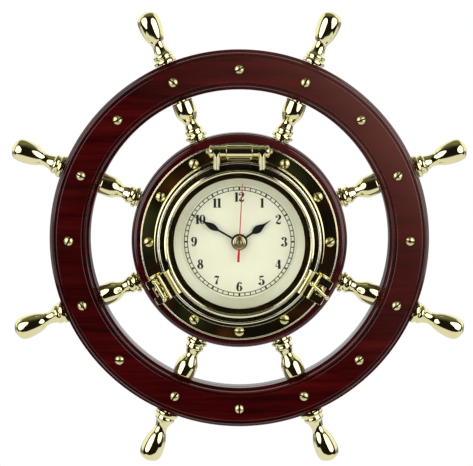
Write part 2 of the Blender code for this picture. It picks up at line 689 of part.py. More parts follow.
def porthole_body():
    bead_middle = (COLLAR_OUTER_RADIUS + COLLAR_INNER_RADIUS) / 2
    profile = [
        (bead_middle, COLLAR_TOP - COLLAR_BEAD / 2),
        (bead_middle + COLLAR_BEAD / 2, COLLAR_TOP),
        (COLLAR_OUTER_RADIUS - COLLAR_BEAD, COLLAR_TOP),
        (COLLAR_OUTER_RADIUS, COLLAR_TOP - COLLAR_BEAD),
        (COLLAR_OUTER_RADIUS, FLANGE_FRONT),
        (FLANGE_RADIUS - FLANGE_EDGE, FLANGE_FRONT),
        (FLANGE_RADIUS, FLANGE_FRONT - FLANGE_EDGE),
        (FLANGE_RADIUS, FLANGE_BACK),
        (BORE_RADIUS, FLANGE_BACK),
        (BORE_RADIUS, LEDGE),
        (COLLAR_INNER_RADIUS, LEDGE),
        (COLLAR_INNER_RADIUS, COLLAR_TOP),
        (bead_middle - COLLAR_BEAD / 2, COLLAR_TOP),
    ]
    body = turned("porthole_body", profile, RING_SIDES, brass, closed=True)
    block_root = FLANGE_FRONT - FLANGE_THICKNESS / 2
    block = blocks("hinge_block", [(
        (-HINGE_BLOCK_WIDTH / 2, bead_middle, block_root),
        (HINGE_BLOCK_WIDTH / 2, HINGE_OFFSET + BARREL_RADIUS * 0.8, HINGE_HEIGHT),
    )])
    half = BARREL_LENGTH / 2
    end = half + BARREL_END_LENGTH
    barrel_profile = [
        (0.0, end), (BARREL_END_RADIUS, end), (BARREL_END_RADIUS, half), (BARREL_RADIUS, half),
        (BARREL_RADIUS, -half), (BARREL_END_RADIUS, -half), (BARREL_END_RADIUS, -end), (0.0, -end),
    ]
    barrel = turned(
        "hinge_barrel", barrel_profile, 16, None,
        location=(0, HINGE_OFFSET, HINGE_HEIGHT), rotation=(0, pi / 2, 0),
    )
    join(body, block, barrel, ears("right"), ears("left"))
    hinge_bore = rods(
        "hinge_bore", HINGE_PIN_RADIUS + GAP, -2 * end, 2 * end,
        [sideways(HINGE_OFFSET, HINGE_HEIGHT)], PIN_SIDES,
    )
    screw_holes = rods(
        "flange_holes", FLANGE_SCREW_SHANK_RADIUS + HOLE_PLAY, 0.0, 2 * FLANGE_FRONT,
        upright(flange_screw_places), HOLE_SIDES, turn=HOLE_TURN,
    )
    cut(body, hinge_bore, screw_holes)
    for side in DOG_ANGLES:
        cut(body, rods(
            f"ear_bore_{side}", DOG_PIN_RADIUS + GAP, -2 * EAR_OUTSIDE, 2 * EAR_OUTSIDE,
            [sideways(DOG_CIRCLE, DOG_PIVOT_HEIGHT)], PIN_SIDES, parent=dog_frame(side, "ear_bore_frame"),
        ))
    settle(body)


# Sash, its glass and its hinge

def sash_frame():
    """The hinge axis, with an inner frame back at the wheel's centre for the pieces that swing."""
    axis = frame("hinge_axis", face, location=(0, HINGE_OFFSET, HINGE_HEIGHT))
    return frame("sash_centre", axis, location=(0, -HINGE_OFFSET, -HINGE_HEIGHT))


def lug(side, centre):
    """A forked lug: a block with a sunk band and a slot that is open outwards for the swing bolt."""
    place = frame(f"lug_frame_{side}", centre, rotation=(0, 0, -radians(DOG_ANGLES[side])))
    start = SASH_RADIUS - SASH_BEAD_WIDTH / 2
    piece = blocks(f"lug_{side}", [(
        (-LUG_WIDTH / 2, start, ARM_BACK), (LUG_WIDTH / 2, LUG_REACH, LUG_FRONT),
    )], parent=place)
    rounded(piece, LUG_ROUNDING)
    slot_radius = SWING_SLOT_WIDTH / 2
    slot_start = SWING_SLOT_END + slot_radius
    slot = blocks(f"lug_slot_{side}", [(
        (-slot_radius, slot_start, 0.0), (slot_radius, 2 * LUG_REACH, 2 * LUG_FRONT),
    )], parent=place)
    slot_end = rods(
        f"lug_slot_end_{side}", slot_radius, 0.0, 2 * LUG_FRONT,
        [Matrix.Translation((0, slot_start, 0))], PIN_SIDES, parent=place,
    )
    band_start = SASH_RADIUS + LUG_RECESS_EDGE + SASH_BEAD_WIDTH / 2
    band = blocks(f"lug_band_{side}", [(
        (-LUG_WIDTH / 2 + LUG_RECESS_EDGE, band_start, LUG_FRONT - LUG_RECESS_DEPTH),
        (LUG_WIDTH / 2 - LUG_RECESS_EDGE, band_start + LUG_RECESS_LENGTH, 2 * LUG_FRONT),
    )], parent=place)
    cut(piece, slot, slot_end, band)
    return piece


def sash(centre):
    bead_inside = SASH_RADIUS - SASH_BEAD_WIDTH
    pocket_radius = GLASS_RADIUS + GAP
    lip_front = LIP_BACK + SASH_LIP_THICKNESS
    bead_foot = SASH_FRONT - SASH_BEAD_WIDTH / 2
    profile = [
        (SASH_RADIUS - SASH_BEAD_WIDTH / 2, SASH_FRONT),
        (SASH_RADIUS - SASH_BEAD_WIDTH / 6, SASH_FRONT - SASH_BEAD_WIDTH / 6),
        (SASH_RADIUS, bead_foot),
        (SASH_RADIUS, SASH_BACK),
        (pocket_radius, SASH_BACK),
        (pocket_radius, LIP_BACK),
        (SASH_OPENING_RADIUS, LIP_BACK),
        (SASH_OPENING_RADIUS, lip_front),
        ((SASH_OPENING_RADIUS + bead_inside) / 2, lip_front + (bead_foot - lip_front) * 0.35),
        (bead_inside, bead_foot),
        (bead_inside + SASH_BEAD_WIDTH / 6, SASH_FRONT - SASH_BEAD_WIDTH / 6),
    ]
    ring = turned("sash", profile, RING_SIDES, brass, closed=True, parent=centre)
    arm_foot = sqrt(SASH_RADIUS ** 2 - ARM_OUTSIDE ** 2) - SASH_BEAD_WIDTH / 2
    arms = blocks("sash_arms", [
        ((left, arm_foot, ARM_BACK), (left + ARM_WIDTH, HINGE_OFFSET, ARM_BACK + ARM_THICKNESS))
        for left in (-ARM_OUTSIDE, ARM_INSIDE)
    ], parent=centre)
    eyes = rods(
        "sash_eyes", EYE_RADIUS, ARM_INSIDE, ARM_OUTSIDE,
        [sideways(HINGE_OFFSET, HINGE_HEIGHT), sideways(HINGE_OFFSET, HINGE_HEIGHT, -ARM_INSIDE - ARM_OUTSIDE)],
        16, parent=centre,
    )
    join(ring, arms, eyes, lug("right", centre), lug("left", centre))
    cut(ring, rods(
        "sash_eye_bore", HINGE_PIN_RADIUS + GAP, -2 * ARM_OUTSIDE, 2 * ARM_OUTSIDE,
        [sideways(HINGE_OFFSET, HINGE_HEIGHT)], PIN_SIDES, parent=centre,
    ))
    settle(ring)


def glazing(centre):
    disc = [(0.0, GLASS_FRONT), (GLASS_RADIUS, GLASS_FRONT), (GLASS_RADIUS, GLASS_BACK), (0.0, GLASS_BACK)]
    settle(turned("glass", disc, RING_SIDES, glass_look, parent=centre))
    ring_front = GLASS_RING_BACK + GLASS_RING_THICKNESS
    inside = GLASS_RADIUS - GLASS_RING_WIDTH
    ring = [
        (GLASS_RADIUS, ring_front), (GLASS_RADIUS, GLASS_RING_BACK),
        (inside, GLASS_RING_BACK), (inside, ring_front),
    ]
    settle(turned("glass_ring", ring, RING_SIDES, brass, closed=True, parent=centre))


def hinge_pin():
    seat = ARM_OUTSIDE + GAP
    nut_end = seat + ACORN_LENGTH
    tip = nut_end + ACORN_TIP_LENGTH
    half = [
        (ACORN_RADIUS / 3, tip - ACORN_TIP_LENGTH / 8),
        (ACORN_RADIUS / 2, nut_end + ACORN_TIP_LENGTH / 2),
        (ACORN_RADIUS / 3, nut_end + GAP),
        (ACORN_RADIUS * 0.85, nut_end),
        (ACORN_RADIUS, nut_end - ACORN_LENGTH / 3),
        (ACORN_RADIUS, seat),
        (HINGE_PIN_RADIUS, seat),
    ]
    mirrored = [(radius, -place) for radius, place in reversed(half)]
    profile = [(0.0, tip)] + half + mirrored + [(0.0, -tip)]
    settle(turned(
        "hinge_pin", profile, PIN_SIDES, brass,
        location=(0, HINGE_OFFSET, HINGE_HEIGHT), rotation=(0, pi / 2, 0),
    ))


# Dogs: swing bolts with T-bar nuts

def dog(side):
    place = dog_frame(side, "dog")
    pivot = frame(f"dog_pivot_{side}", place, location=(0, DOG_CIRCLE, DOG_PIVOT_HEIGHT))
    bar_height = TBAR_HEIGHT - DOG_PIVOT_HEIGHT
    nut_foot = bar_height - TBAR_BALL_RADIUS - NUT_SKIRT
    nut_top = bar_height + TBAR_BALL_RADIUS + NUT_DOME
    bolt_top = bar_height + TBAR_BALL_RADIUS / 2

    bolt = turned(
        f"dog_bolt_{side}", [(0.0, bolt_top), (BOLT_RADIUS, bolt_top), (BOLT_RADIUS, 0.0), (0.0, 0.0)],
        PIN_SIDES, brass, parent=pivot,
    )
    eye = rods(
        f"bolt_eye_{side}", BOLT_EYE_RADIUS, -BOLT_EYE_WIDTH / 2, BOLT_EYE_WIDTH / 2,
        [sideways(0, 0)], PIN_SIDES, parent=pivot,
    )
    join(bolt, eye)
    cut(bolt, rods(
        f"bolt_bore_{side}", DOG_PIN_RADIUS + GAP, -BOLT_EYE_WIDTH, BOLT_EYE_WIDTH,
        [sideways(0, 0)], PIN_SIDES, parent=pivot,
    ))
    settle(bolt)

    head = EAR_OUTSIDE + GAP
    head_end = head + DOG_PIN_HEAD_LENGTH
    pin_half = [
        (DOG_PIN_HEAD_RADIUS * 0.8, head_end),
        (DOG_PIN_HEAD_RADIUS, head_end - DOG_PIN_HEAD_LENGTH / 2),
        (DOG_PIN_HEAD_RADIUS, head),
        (DOG_PIN_RADIUS, head),
    ]
    mirrored = [(radius, -height) for radius, height in reversed(pin_half)]
    settle(turned(
        f"dog_pin_{side}", [(0.0, head_end)] + pin_half + mirrored + [(0.0, -head_end)],
        PIN_SIDES, brass, parent=place, location=(0, DOG_CIRCLE, DOG_PIVOT_HEIGHT), rotation=(0, pi / 2, 0),
    ))

    turned_nut = frame(f"dog_nut_frame_{side}", pivot, rotation=(0, 0, -radians(TBAR_TURNS[side])))
    nut_profile = [
        (0.0, nut_top), (NUT_RADIUS * 0.6, nut_top - NUT_DOME / 3), (NUT_RADIUS, nut_top - NUT_DOME),
        (NUT_RADIUS, nut_foot), (0.0, nut_foot),
    ]
    nut = turned(f"dog_nut_{side}", nut_profile, PIN_SIDES, brass, parent=turned_nut)
    lengthwise = Matrix.Translation((0, 0, bar_height)) @ Matrix.Rotation(-pi / 2, 4, "X")
    bar_reach = TBAR_LENGTH / 2 - TBAR_BALL_RADIUS
    bar = rods(
        f"tbar_{side}", TBAR_WIDTH / 2, -bar_reach, bar_reach, [lengthwise], HOLE_SIDES, parent=turned_nut,
    )
    ball = [
        (TBAR_BALL_RADIUS * sin(radians(angle)), TBAR_BALL_RADIUS * cos(radians(angle)))
        for angle in (0, 40, 90, 140, 180)
    ]
    balls = [
        turned(
            f"tbar_ball_{side}_{name}", ball, HOLE_SIDES, None, parent=turned_nut,
            location=(0, reach, bar_height), rotation=(-pi / 2, 0, 0),
        )
        for name, reach in (("outer", bar_reach), ("inner", -bar_reach))
    ]
    join(nut, bar, *balls)
    cut(nut, rods(
        f"nut_bore_{side}", BOLT_RADIUS + GAP, -nut_foot, bolt_top + GAP,
        [Matrix.Identity(4)], PIN_SIDES, parent=pivot,
    ))
    settle(nut)


# Dial, hands and movement

def insert():
    bush_hole = BUSH_RADIUS + GAP
    disc = [
        (DIAL_RADIUS, DIAL_FRONT), (DIAL_RADIUS, DIAL_BACK), (bush_hole, DIAL_BACK), (bush_hole, DIAL_FRONT),
    ]
    settle(turned("dial", disc, RING_SIDES, dial_look, closed=True))
    top = HUB_THICKNESS + GAP + INSERT_HEIGHT
    lip = DIAL_FRONT + GAP
    rebate = DIAL_RADIUS + GAP
    edge = (INSERT_OUTER_RADIUS - INSERT_INNER_RADIUS) / 8
    ring = [
        (INSERT_OUTER_RADIUS - edge, top),
        (INSERT_OUTER_RADIUS, top - edge),
        (INSERT_OUTER_RADIUS, DIAL_BACK),
        (rebate, DIAL_BACK),
        (rebate, lip),
        (INSERT_INNER_RADIUS, lip),
        (INSERT_INNER_RADIUS, lip + INSERT_LIP),
        (INSERT_OUTER_RADIUS - 2 * edge, top - edge / 3),
    ]
    settle(turned("insert_bezel", ring, RING_SIDES, brass, closed=True))


def hand_outline(hub_radius, stations, tail=()):
    """Outline of a hand that points up: a round hub with blades given as (distance, half width) stations."""
    right = [(half_width, distance) for distance, half_width in stations]
    left = [(-x, y) for x, y in reversed(right) if x > 0]
    start = asin(stations[0][1] / hub_radius)
    end = 2 * pi - start
    steps = 12
    arc = [start + (end - start) * index / steps for index in range(steps, -1, -1)]
    if tail:
        opening = asin(tail[0][1] / hub_radius)
        arc_left = [angle for angle in arc if angle > pi + opening * 1.5]
        arc_right = [angle for angle in arc if angle < pi - opening * 1.5]
        tail_left = [(-half_width, -distance) for distance, half_width in tail]
        tail_right = [(half_width, -distance) for distance, half_width in reversed(tail)]
        hub_points = [(hub_radius * sin(a), hub_radius * cos(a)) for a in arc_left]
        hub_points += tail_left + tail_right
        hub_points += [(hub_radius * sin(a), hub_radius * cos(a)) for a in arc_right]
    else:
        hub_points = [(hub_radius * sin(a), hub_radius * cos(a)) for a in arc]
    return right + left + hub_points[1:-1]


def spade(length, spade_place, spade_half_width, stem_half_width, hub_radius):
    """Stations of a spade hand: a stem that swells to a spade and runs out to a point."""
    start = sqrt(hub_radius ** 2 - stem_half_width ** 2)
    shoulder = spade_half_width * 1.9
    return [
        (start, stem_half_width),
        (spade_place - shoulder, stem_half_width),
        (spade_place - shoulder * 0.45, spade_half_width * 0.75),
        (spade_place, spade_half_width),
        (spade_place + shoulder * 0.5, spade_half_width * 0.72),
        (spade_place + shoulder, spade_half_width * 0.25),
        (length * 0.97, spade_half_width * 0.12),
        (length, 0.0),
    ]


def hands():
    hub_radius = BUSH_RADIUS * 0.8
    bore = ARBOR_RADIUS + GAP
    hour = hand_outline(hub_radius, spade(HOUR_LENGTH, HOUR_LENGTH * 0.57, 0.0027, 0.0006, hub_radius))
    settle(plate(
        "hour_hand", hour, [(0, 0, bore)], HOUR_BACK, HOUR_BACK + HAND_THICKNESS, black,
        rotation=(0, 0, -radians(HOUR_ANGLE)),
    ))
    minute = hand_outline(hub_radius, spade(MINUTE_LENGTH, MINUTE_LENGTH * 0.56, 0.0021, 0.0005, hub_radius))
    settle(plate(
        "minute_hand", minute, [(0, 0, bore)], MINUTE_BACK, MINUTE_BACK + HAND_THICKNESS, black,
        rotation=(0, 0, -radians(MINUTE_ANGLE)),
    ))
    thin = 0.0003
    start = sqrt(hub_radius ** 2 - thin ** 2)
    needle = hand_outline(
        hub_radius, [(start, thin), (SECOND_LENGTH, thin / 2)], [(start, 2 * thin), (SECOND_TAIL, 2 * thin)],
    )
    second = plate(
        "second_hand", needle, [], SECOND_BACK, SECOND_BACK + HAND_THICKNESS, red,
        rotation=(0, 0, -radians(SECOND_ANGLE)),
    )
    cap_top = SECOND_BACK + HUB_CAP_HEIGHT
    cap = turned("second_cap", [
        (0.0, cap_top), (HUB_CAP_RADIUS * 0.7, cap_top - HUB_CAP_HEIGHT * 0.15),
        (HUB_CAP_RADIUS, cap_top - HUB_CAP_HEIGHT / 2), (HUB_CAP_RADIUS, SECOND_BACK + HAND_THICKNESS / 4),
        (0.0, SECOND_BACK + HAND_THICKNESS / 4),
    ], PIN_SIDES, None)
    join(second, cap)
    cut(second, rods(
        "second_bore", bore, 0.0, ARBOR_TOP + GAP, [Matrix.Identity(4)], HOLE_SIDES,
    ))
    settle(second)


def movement():
    half = CASE_SIZE / 2
    inner = half - CASE_WALL
    bay_half = BATTERY_RADIUS + BATTERY_PLAY
    bay_top = CASE_FRONT - CASE_WALL / 3
    partition = BATTERY_OFFSET + bay_half + CASE_WALL
    case = blocks("movement_case", [((-half, -half, CASE_BACK), (half, half, CASE_FRONT))])
    case.data.materials.append(plastic)
    rounded(case, CASE_CORNER)
    bush = turned("bush", [
        (0.0, ARBOR_TOP), (ARBOR_RADIUS, ARBOR_TOP), (ARBOR_RADIUS, BUSH_TOP), (BUSH_RADIUS, BUSH_TOP),
        (BUSH_RADIUS, CASE_FRONT - CASE_FRONT_WALL / 2), (0.0, CASE_FRONT - CASE_FRONT_WALL / 2),
    ], PIN_SIDES, None)
    join(case, bush)
    cut(case, blocks("case_hollows", [
        ((-inner, partition, 0.0), (inner, inner, CASE_FRONT - CASE_FRONT_WALL)),
        ((-inner, BATTERY_OFFSET - bay_half, 0.0), (inner, BATTERY_OFFSET + bay_half, bay_top)),
    ]))
    settle(case)

    cover = blocks("movement_cover", [(
        (-inner + GAP, partition + GAP, CASE_BACK), (inner - GAP, inner - GAP, CASE_BACK + COVER_THICKNESS),
    )])
    cover.data.materials.append(plastic)
    cut(cover, rods(
        "cover_hole", KNOB_STEM_RADIUS + GAP, 0.0, CASE_FRONT, upright([KNOB_PLACE]), HOLE_SIDES,
    ))
    settle(cover)

    knob_top = CASE_BACK - GAP
    knob_foot = knob_top - KNOB_THICKNESS
    settle(turned("setting_knob", [
        (0.0, knob_top + KNOB_STEM_LENGTH), (KNOB_STEM_RADIUS, knob_top + KNOB_STEM_LENGTH),
        (KNOB_STEM_RADIUS, knob_top), (KNOB_RADIUS, knob_top),
        (KNOB_RADIUS, knob_foot), (0.0, knob_foot),
    ], PIN_SIDES, plastic, location=(*KNOB_PLACE, 0)))

    cap = BATTERY_LENGTH / 2
    can = cap - BATTERY_CAP_LENGTH
    battery_height = bay_top - BATTERY_PLAY - BATTERY_RADIUS
    settle(turned("battery", [
        (0.0, cap), (BATTERY_CAP_RADIUS, cap), (BATTERY_CAP_RADIUS, can), (BATTERY_RADIUS, can),
        (BATTERY_RADIUS, -cap), (0.0, -cap),
    ], 16, battery_look, location=(0, BATTERY_OFFSET, battery_height), rotation=(0, pi / 2, 0)))

    nut_foot = DIAL_FRONT + GAP
    nut_bore = BUSH_RADIUS + GAP
    settle(turned("movement_nut", [
        (CENTRE_NUT_RADIUS, nut_foot + CENTRE_NUT_THICKNESS), (CENTRE_NUT_RADIUS, nut_foot),
        (nut_bore, nut_foot), (nut_bore, nut_foot + CENTRE_NUT_THICKNESS),
    ], PIN_SIDES, black, closed=True))


# Hanger at the back of the hub

def hanger():
    """A bowed strip with its two ends on the floor of the recess, so that a nail head goes behind its middle."""
    end_front = HANGER_RECESS_DEPTH - GAP
    end_back = end_front - HANGER_THICKNESS
    reach = HANGER_LENGTH / 2
    bend = HANGER_SCREW_SPACING / 2 - 2 * HANGER_SCREW_HEAD_RADIUS
    flat = bend - 2 * HANGER_BOW
    upper = [(-reach, end_front), (-bend, end_front), (-flat, end_front - HANGER_BOW)]
    lower = [(-reach, end_back), (-bend, end_back), (-flat, end_back - HANGER_BOW)]
    outline = upper + [(-x, z) for x, z in reversed(upper)]
    outline += [(-x, z) for x, z in lower] + list(reversed(lower))
    strip = plate(
        "hanger_plate", outline, [], -HANGER_WIDTH / 2, HANGER_WIDTH / 2, steel,
        location=(0, HANGER_OFFSET, 0), rotation=(pi / 2, 0, 0),
    )
    cut(strip, rods(
        "hanger_plate_holes", HANGER_SCREW_SHANK_RADIUS + HOLE_PLAY, -HANGER_WIDTH, HANGER_WIDTH,
        upright(hanger_screw_places()), HOLE_SIDES,
    ))
    settle(strip)
    seat = end_back - GAP
    for number, (x, y) in enumerate(hanger_screw_places(), start=1):
        screw = screw_mesh(
            f"hanger_screw_{number}", HANGER_SCREW_HEAD_RADIUS, HANGER_SCREW_HEAD_HEIGHT,
            HANGER_SCREW_SHANK_RADIUS, HANGER_SCREW_LENGTH, slotted=False,
        )
        screw.location = (x, y, seat)
        screw.rotation_euler = (pi, 0, 0)


rim_front()
rim_back()
hub()
spokes()
screws(
    "rim_screw_1", "rim_screw_{}", rim_screw_places, RIM_THICKNESS + GAP,
    head_radius=RIM_SCREW_HEAD_RADIUS, head_height=RIM_SCREW_HEAD_HEIGHT,
    shank_radius=RIM_SCREW_SHANK_RADIUS, length=RIM_SCREW_LENGTH,
)
porthole_body()
screws(
    "flange_screw_1", "flange_screw_{}", flange_screw_places, FLANGE_FRONT + GAP,
    head_radius=FLANGE_SCREW_HEAD_RADIUS, head_height=FLANGE_SCREW_HEAD_HEIGHT,
    shank_radius=FLANGE_SCREW_SHANK_RADIUS, length=FLANGE_SCREW_LENGTH,
)
swinging = sash_frame()
sash(swinging)
glazing(swinging)
hinge_pin()
for dog_side in DOG_ANGLES:
    dog(dog_side)
insert()
hands()
movement()
hanger()
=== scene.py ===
# %% [markdown]
# A ship wheel clock: a lacquered mahogany wheel with eight turned brass spokes, and a brass porthole on its
# hub that opens over a quartz dial. The measured model is loaded first and stays as it is. Every piece that
# shows from the front is then modelled again, finer, the way one would do it by hand in Blender.

import json
from math import cos, pi, radians, sin, sqrt

import bpy
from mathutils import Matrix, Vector

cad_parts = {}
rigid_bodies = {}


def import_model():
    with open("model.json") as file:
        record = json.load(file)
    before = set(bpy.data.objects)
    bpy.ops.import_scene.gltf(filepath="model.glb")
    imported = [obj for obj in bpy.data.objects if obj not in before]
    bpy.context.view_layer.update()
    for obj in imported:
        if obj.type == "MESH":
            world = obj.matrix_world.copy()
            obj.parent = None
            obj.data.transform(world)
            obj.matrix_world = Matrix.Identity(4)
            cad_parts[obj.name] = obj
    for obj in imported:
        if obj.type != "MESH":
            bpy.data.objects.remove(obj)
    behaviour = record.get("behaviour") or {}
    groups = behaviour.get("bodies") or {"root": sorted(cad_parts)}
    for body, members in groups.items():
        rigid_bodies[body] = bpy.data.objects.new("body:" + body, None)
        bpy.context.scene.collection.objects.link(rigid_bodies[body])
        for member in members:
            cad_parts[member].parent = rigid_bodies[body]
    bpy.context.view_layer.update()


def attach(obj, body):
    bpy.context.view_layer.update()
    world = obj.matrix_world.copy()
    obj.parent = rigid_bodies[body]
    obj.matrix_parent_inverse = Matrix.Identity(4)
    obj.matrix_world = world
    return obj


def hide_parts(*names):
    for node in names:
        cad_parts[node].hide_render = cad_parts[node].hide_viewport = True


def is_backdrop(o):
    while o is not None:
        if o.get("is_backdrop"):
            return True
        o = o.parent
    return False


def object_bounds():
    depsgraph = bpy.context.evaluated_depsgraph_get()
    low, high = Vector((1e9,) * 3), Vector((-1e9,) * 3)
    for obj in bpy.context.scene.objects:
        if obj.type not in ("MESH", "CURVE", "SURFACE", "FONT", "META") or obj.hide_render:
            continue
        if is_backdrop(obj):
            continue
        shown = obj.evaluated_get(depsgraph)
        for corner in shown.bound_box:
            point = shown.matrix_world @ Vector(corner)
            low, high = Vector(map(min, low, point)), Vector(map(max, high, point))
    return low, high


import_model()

MM = 0.001

# %% [markdown]
# The clock is seen from straight in front and a little above. The camera stands where the perspective of the
# sixteen rim screws puts it: 1.29 m away and 6.5 degrees up. It aims at the wheel's centre, and a small lens
# shift brings the wheel to its place in the picture.

# %% Camera
VIEW_HEIGHT = radians(6.5)
VIEW_DISTANCE = 1.29
IMAGE_WIDTH = 473
FOCAL_PIXELS = 1636.5
SHIFT_PIXELS = (-2.83, 4.94)
SENSOR_WIDTH = 36.0

bpy.ops.object.camera_add(
    location=(0, -VIEW_DISTANCE * cos(VIEW_HEIGHT), VIEW_DISTANCE * sin(VIEW_HEIGHT)),
    rotation=(pi / 2 - VIEW_HEIGHT, 0, 0),
)
camera = bpy.context.object
camera.name = "camera"
camera.data.sensor_width = SENSOR_WIDTH
camera.data.lens = SENSOR_WIDTH * FOCAL_PIXELS / IMAGE_WIDTH
camera.data.shift_x, camera.data.shift_y = (shift / IMAGE_WIDTH for shift in SHIFT_PIXELS)
bpy.context.scene.camera = camera
print("camera lens", round(camera.data.lens, 1), "mm")

# %% [markdown]
# Colours and patterns are wired from the same few nodes again and again. By hand each node is dragged in and
# joined to its neighbours. Here a short helper adds one node and joins it up, so that a finish can be read
# as a recipe further down.

# %% Nodes for colours and patterns


def link(tree, *pairs):
    """Join pairs of sockets."""
    for source, target in pairs:
        tree.links.new(source, target)


def feed(tree, socket, value):
    """Give an input another socket to read, or a plain number or colour."""
    if hasattr(value, "is_linked"):
        tree.links.new(value, socket)
    elif hasattr(value, "__len__"):
        socket.default_value = (*value, 1.0)
    else:
        socket.default_value = value


def ramp_of(tree, factor, stops):
    """A colour ramp fed by a socket; stops are (position, colour or grey)."""
    node = tree.nodes.new("ShaderNodeValToRGB")
    elements = node.color_ramp.elements
    while len(elements) < len(stops):
        elements.new(0.5)
    for element, (position, color) in zip(elements, stops):
        element.position = position
        element.color = (*color, 1.0) if hasattr(color, "__len__") else (color, color, color, 1.0)
    tree.links.new(factor, node.inputs["Fac"])
    return node.outputs["Color"]


def mix_of(tree, factor, first, second, blend="MIX"):
    """A colour mix of two sockets or plain colours."""
    node = tree.nodes.new("ShaderNodeMix")
    node.data_type = "RGBA"
    node.blend_type = blend
    for socket, value in ((node.inputs["Factor"], factor), (node.inputs[6], first), (node.inputs[7], second)):
        feed(tree, socket, value)
    return node.outputs[2]


def math_of(tree, operation, *values):
    """One step of arithmetic on sockets or numbers."""
    node = tree.nodes.new("ShaderNodeMath")
    node.operation = operation
    for socket, value in zip(node.inputs, values):
        feed(tree, socket, value)
    return node.outputs[0]


print("ready to wire ramps, mixes and arithmetic")

# %% [markdown]
# Polished brass shows nothing but its surroundings, so the room matters as much as the metal. A product
# photographer hangs the piece in front of white, lays a white sheet below it, keeps the room in front dark,
# and puts one large soft light on each side. The dark room gives the black band along every turning, the
# white behind and below gives the pale yellow flanks, and the two lights give the white streaks. Faint brown
# and olive blots keep the dark room uneven, and the flat porthole flange mirrors them as patches.

# %% Room around the clock
scene = bpy.context.scene
scene.view_settings.view_transform = "Standard"
room = bpy.data.worlds.new("studio_room")
scene.world = room
room.use_nodes = True
room.cycles.sampling_method = "NONE"
tree = room.node_tree
tree.nodes.clear()
direction = tree.nodes.new("ShaderNodeTexCoord").outputs["Generated"]
parted = tree.nodes.new("ShaderNodeSeparateXYZ")
link(tree, (direction, parted.inputs[0]))
height_share = math_of(tree, "MULTIPLY_ADD", parted.outputs["Z"], 0.5, 0.5)
depth_share = math_of(tree, "MULTIPLY_ADD", parted.outputs["Y"], 0.5, 0.5)

CEILING = (0.155, 0.165, 0.090)
BLACK = (0.001, 0.001, 0.001)
dark_room = ramp_of(tree, height_share, [
    (0.0, 0.8), (0.17, 0.8), (0.22, 0.03), (0.28, 0.003), (0.82, 0.003),
    (0.91, (0.05, 0.05, 0.03)), (0.98, CEILING), (1.0, CEILING),
])
white_sweep = ramp_of(tree, height_share, [
    (0.0, 0.8), (0.30, 0.8), (0.37, 0.25), (0.47, 0.25),
    (0.51, 1.0), (0.86, 1.0), (0.93, CEILING), (1.0, CEILING),
])
clutter = tree.nodes.new("ShaderNodeTexNoise")
clutter.inputs["Scale"].default_value = 46.0
clutter.inputs["Detail"].default_value = 2.5
clutter.inputs["Roughness"].default_value = 0.55
link(tree, (direction, clutter.inputs["Vector"]))
furnishings = ramp_of(tree, clutter.outputs["Fac"], [
    (0.0, (0.045, 0.050, 0.028)), (0.36, (0.026, 0.029, 0.016)), (0.42, BLACK), (0.57, BLACK),
    (0.63, (0.045, 0.013, 0.004)), (0.66, (0.008, 0.002, 0.001)), (0.74, (0.14, 0.06, 0.02)),
])
print("a dark room in front, a white sweep behind")

# %% [markdown]
# The camera, and light that has passed through the glass, see plain white instead of this room, as in the
# photo. Mirror reflections see the room, and matt surfaces are lit by an even white of about two thirds.

# %% What sees which room
WHITE = (1.0, 1.0, 1.0)
ROOM_LIGHT = (0.68, 0.68, 0.68)

front_room = mix_of(tree, 1.0, dark_room, furnishings, "ADD")
behind = ramp_of(tree, depth_share, [(0.0, 0.0), (0.47, 0.0), (0.55, 1.0), (1.0, 1.0)])
mirrored_room = mix_of(tree, behind, front_room, white_sweep)
rays = tree.nodes.new("ShaderNodeLightPath").outputs
seen_white = math_of(tree, "MAXIMUM", rays["Is Camera Ray"], rays["Is Transmission Ray"])
mirrored = mix_of(tree, rays["Is Glossy Ray"], ROOM_LIGHT, mirrored_room)
shown = mix_of(tree, seen_white, mirrored, WHITE)
glow = tree.nodes.new("ShaderNodeBackground")
room_output = tree.nodes.new("ShaderNodeOutputWorld")
link(tree, (shown, glow.inputs["Color"]), (glow.outputs[0], room_output.inputs[0]))
print("the room takes", len(tree.nodes), "nodes")

# %% [markdown]
# The two lights are large oval softboxes, so that they leave long white streaks on the turnings. Their
# strength is set so that, with the plain light of the room, a colour on the dial renders about as it is
# written.

# %% Softboxes and floor
LIGHT_DISTANCE = 1.25
LIGHT_TURN = 47.0        # degrees off the wheel's axis
LIGHT_RISE = radians(14.0)
LIGHT_RADIANCE = 1.95
LIGHT_SIZE = (1.25, 1.45)

for side, turn in (("left", -LIGHT_TURN), ("right", LIGHT_TURN)):
    level, rise = LIGHT_DISTANCE * cos(LIGHT_RISE), LIGHT_DISTANCE * sin(LIGHT_RISE)
    place = Vector((level * sin(radians(turn)), -level * cos(radians(turn)), rise))
    bpy.ops.object.light_add(type="AREA", location=place)
    softbox = bpy.context.object
    softbox.name = f"softbox_{side}"
    softbox.rotation_euler = (-place).to_track_quat("-Z", "Y").to_euler()
    softbox.data.shape = "ELLIPSE"
    softbox.data.size, softbox.data.size_y = LIGHT_SIZE
    softbox.data.energy = LIGHT_RADIANCE * pi * LIGHT_SIZE[0] * LIGHT_SIZE[1] * pi / 4
    softbox.visible_camera = False

FLOOR_DROP = 0.95
bpy.ops.mesh.primitive_plane_add(size=1.0, location=(0, 0.35, -FLOOR_DROP))
floor = bpy.context.object
floor.name = "studio_floor"
floor.scale = (3.4, 3.0, 1.0)
bpy.ops.object.transform_apply(location=True, rotation=True, scale=True)
floor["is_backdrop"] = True
print("two softboxes of", LIGHT_SIZE, "m; floor", FLOOR_DROP, "m below the wheel's centre")

# %% [markdown]
# Materials come next. Each one is a shader with patterns in its nodes, read from Object coordinates, which
# run through the whole clock in metres because every finished piece keeps its place in its mesh.
# Roughness follows a pattern in each of them, because no real surface has the same polish all over.

# %% Material helpers


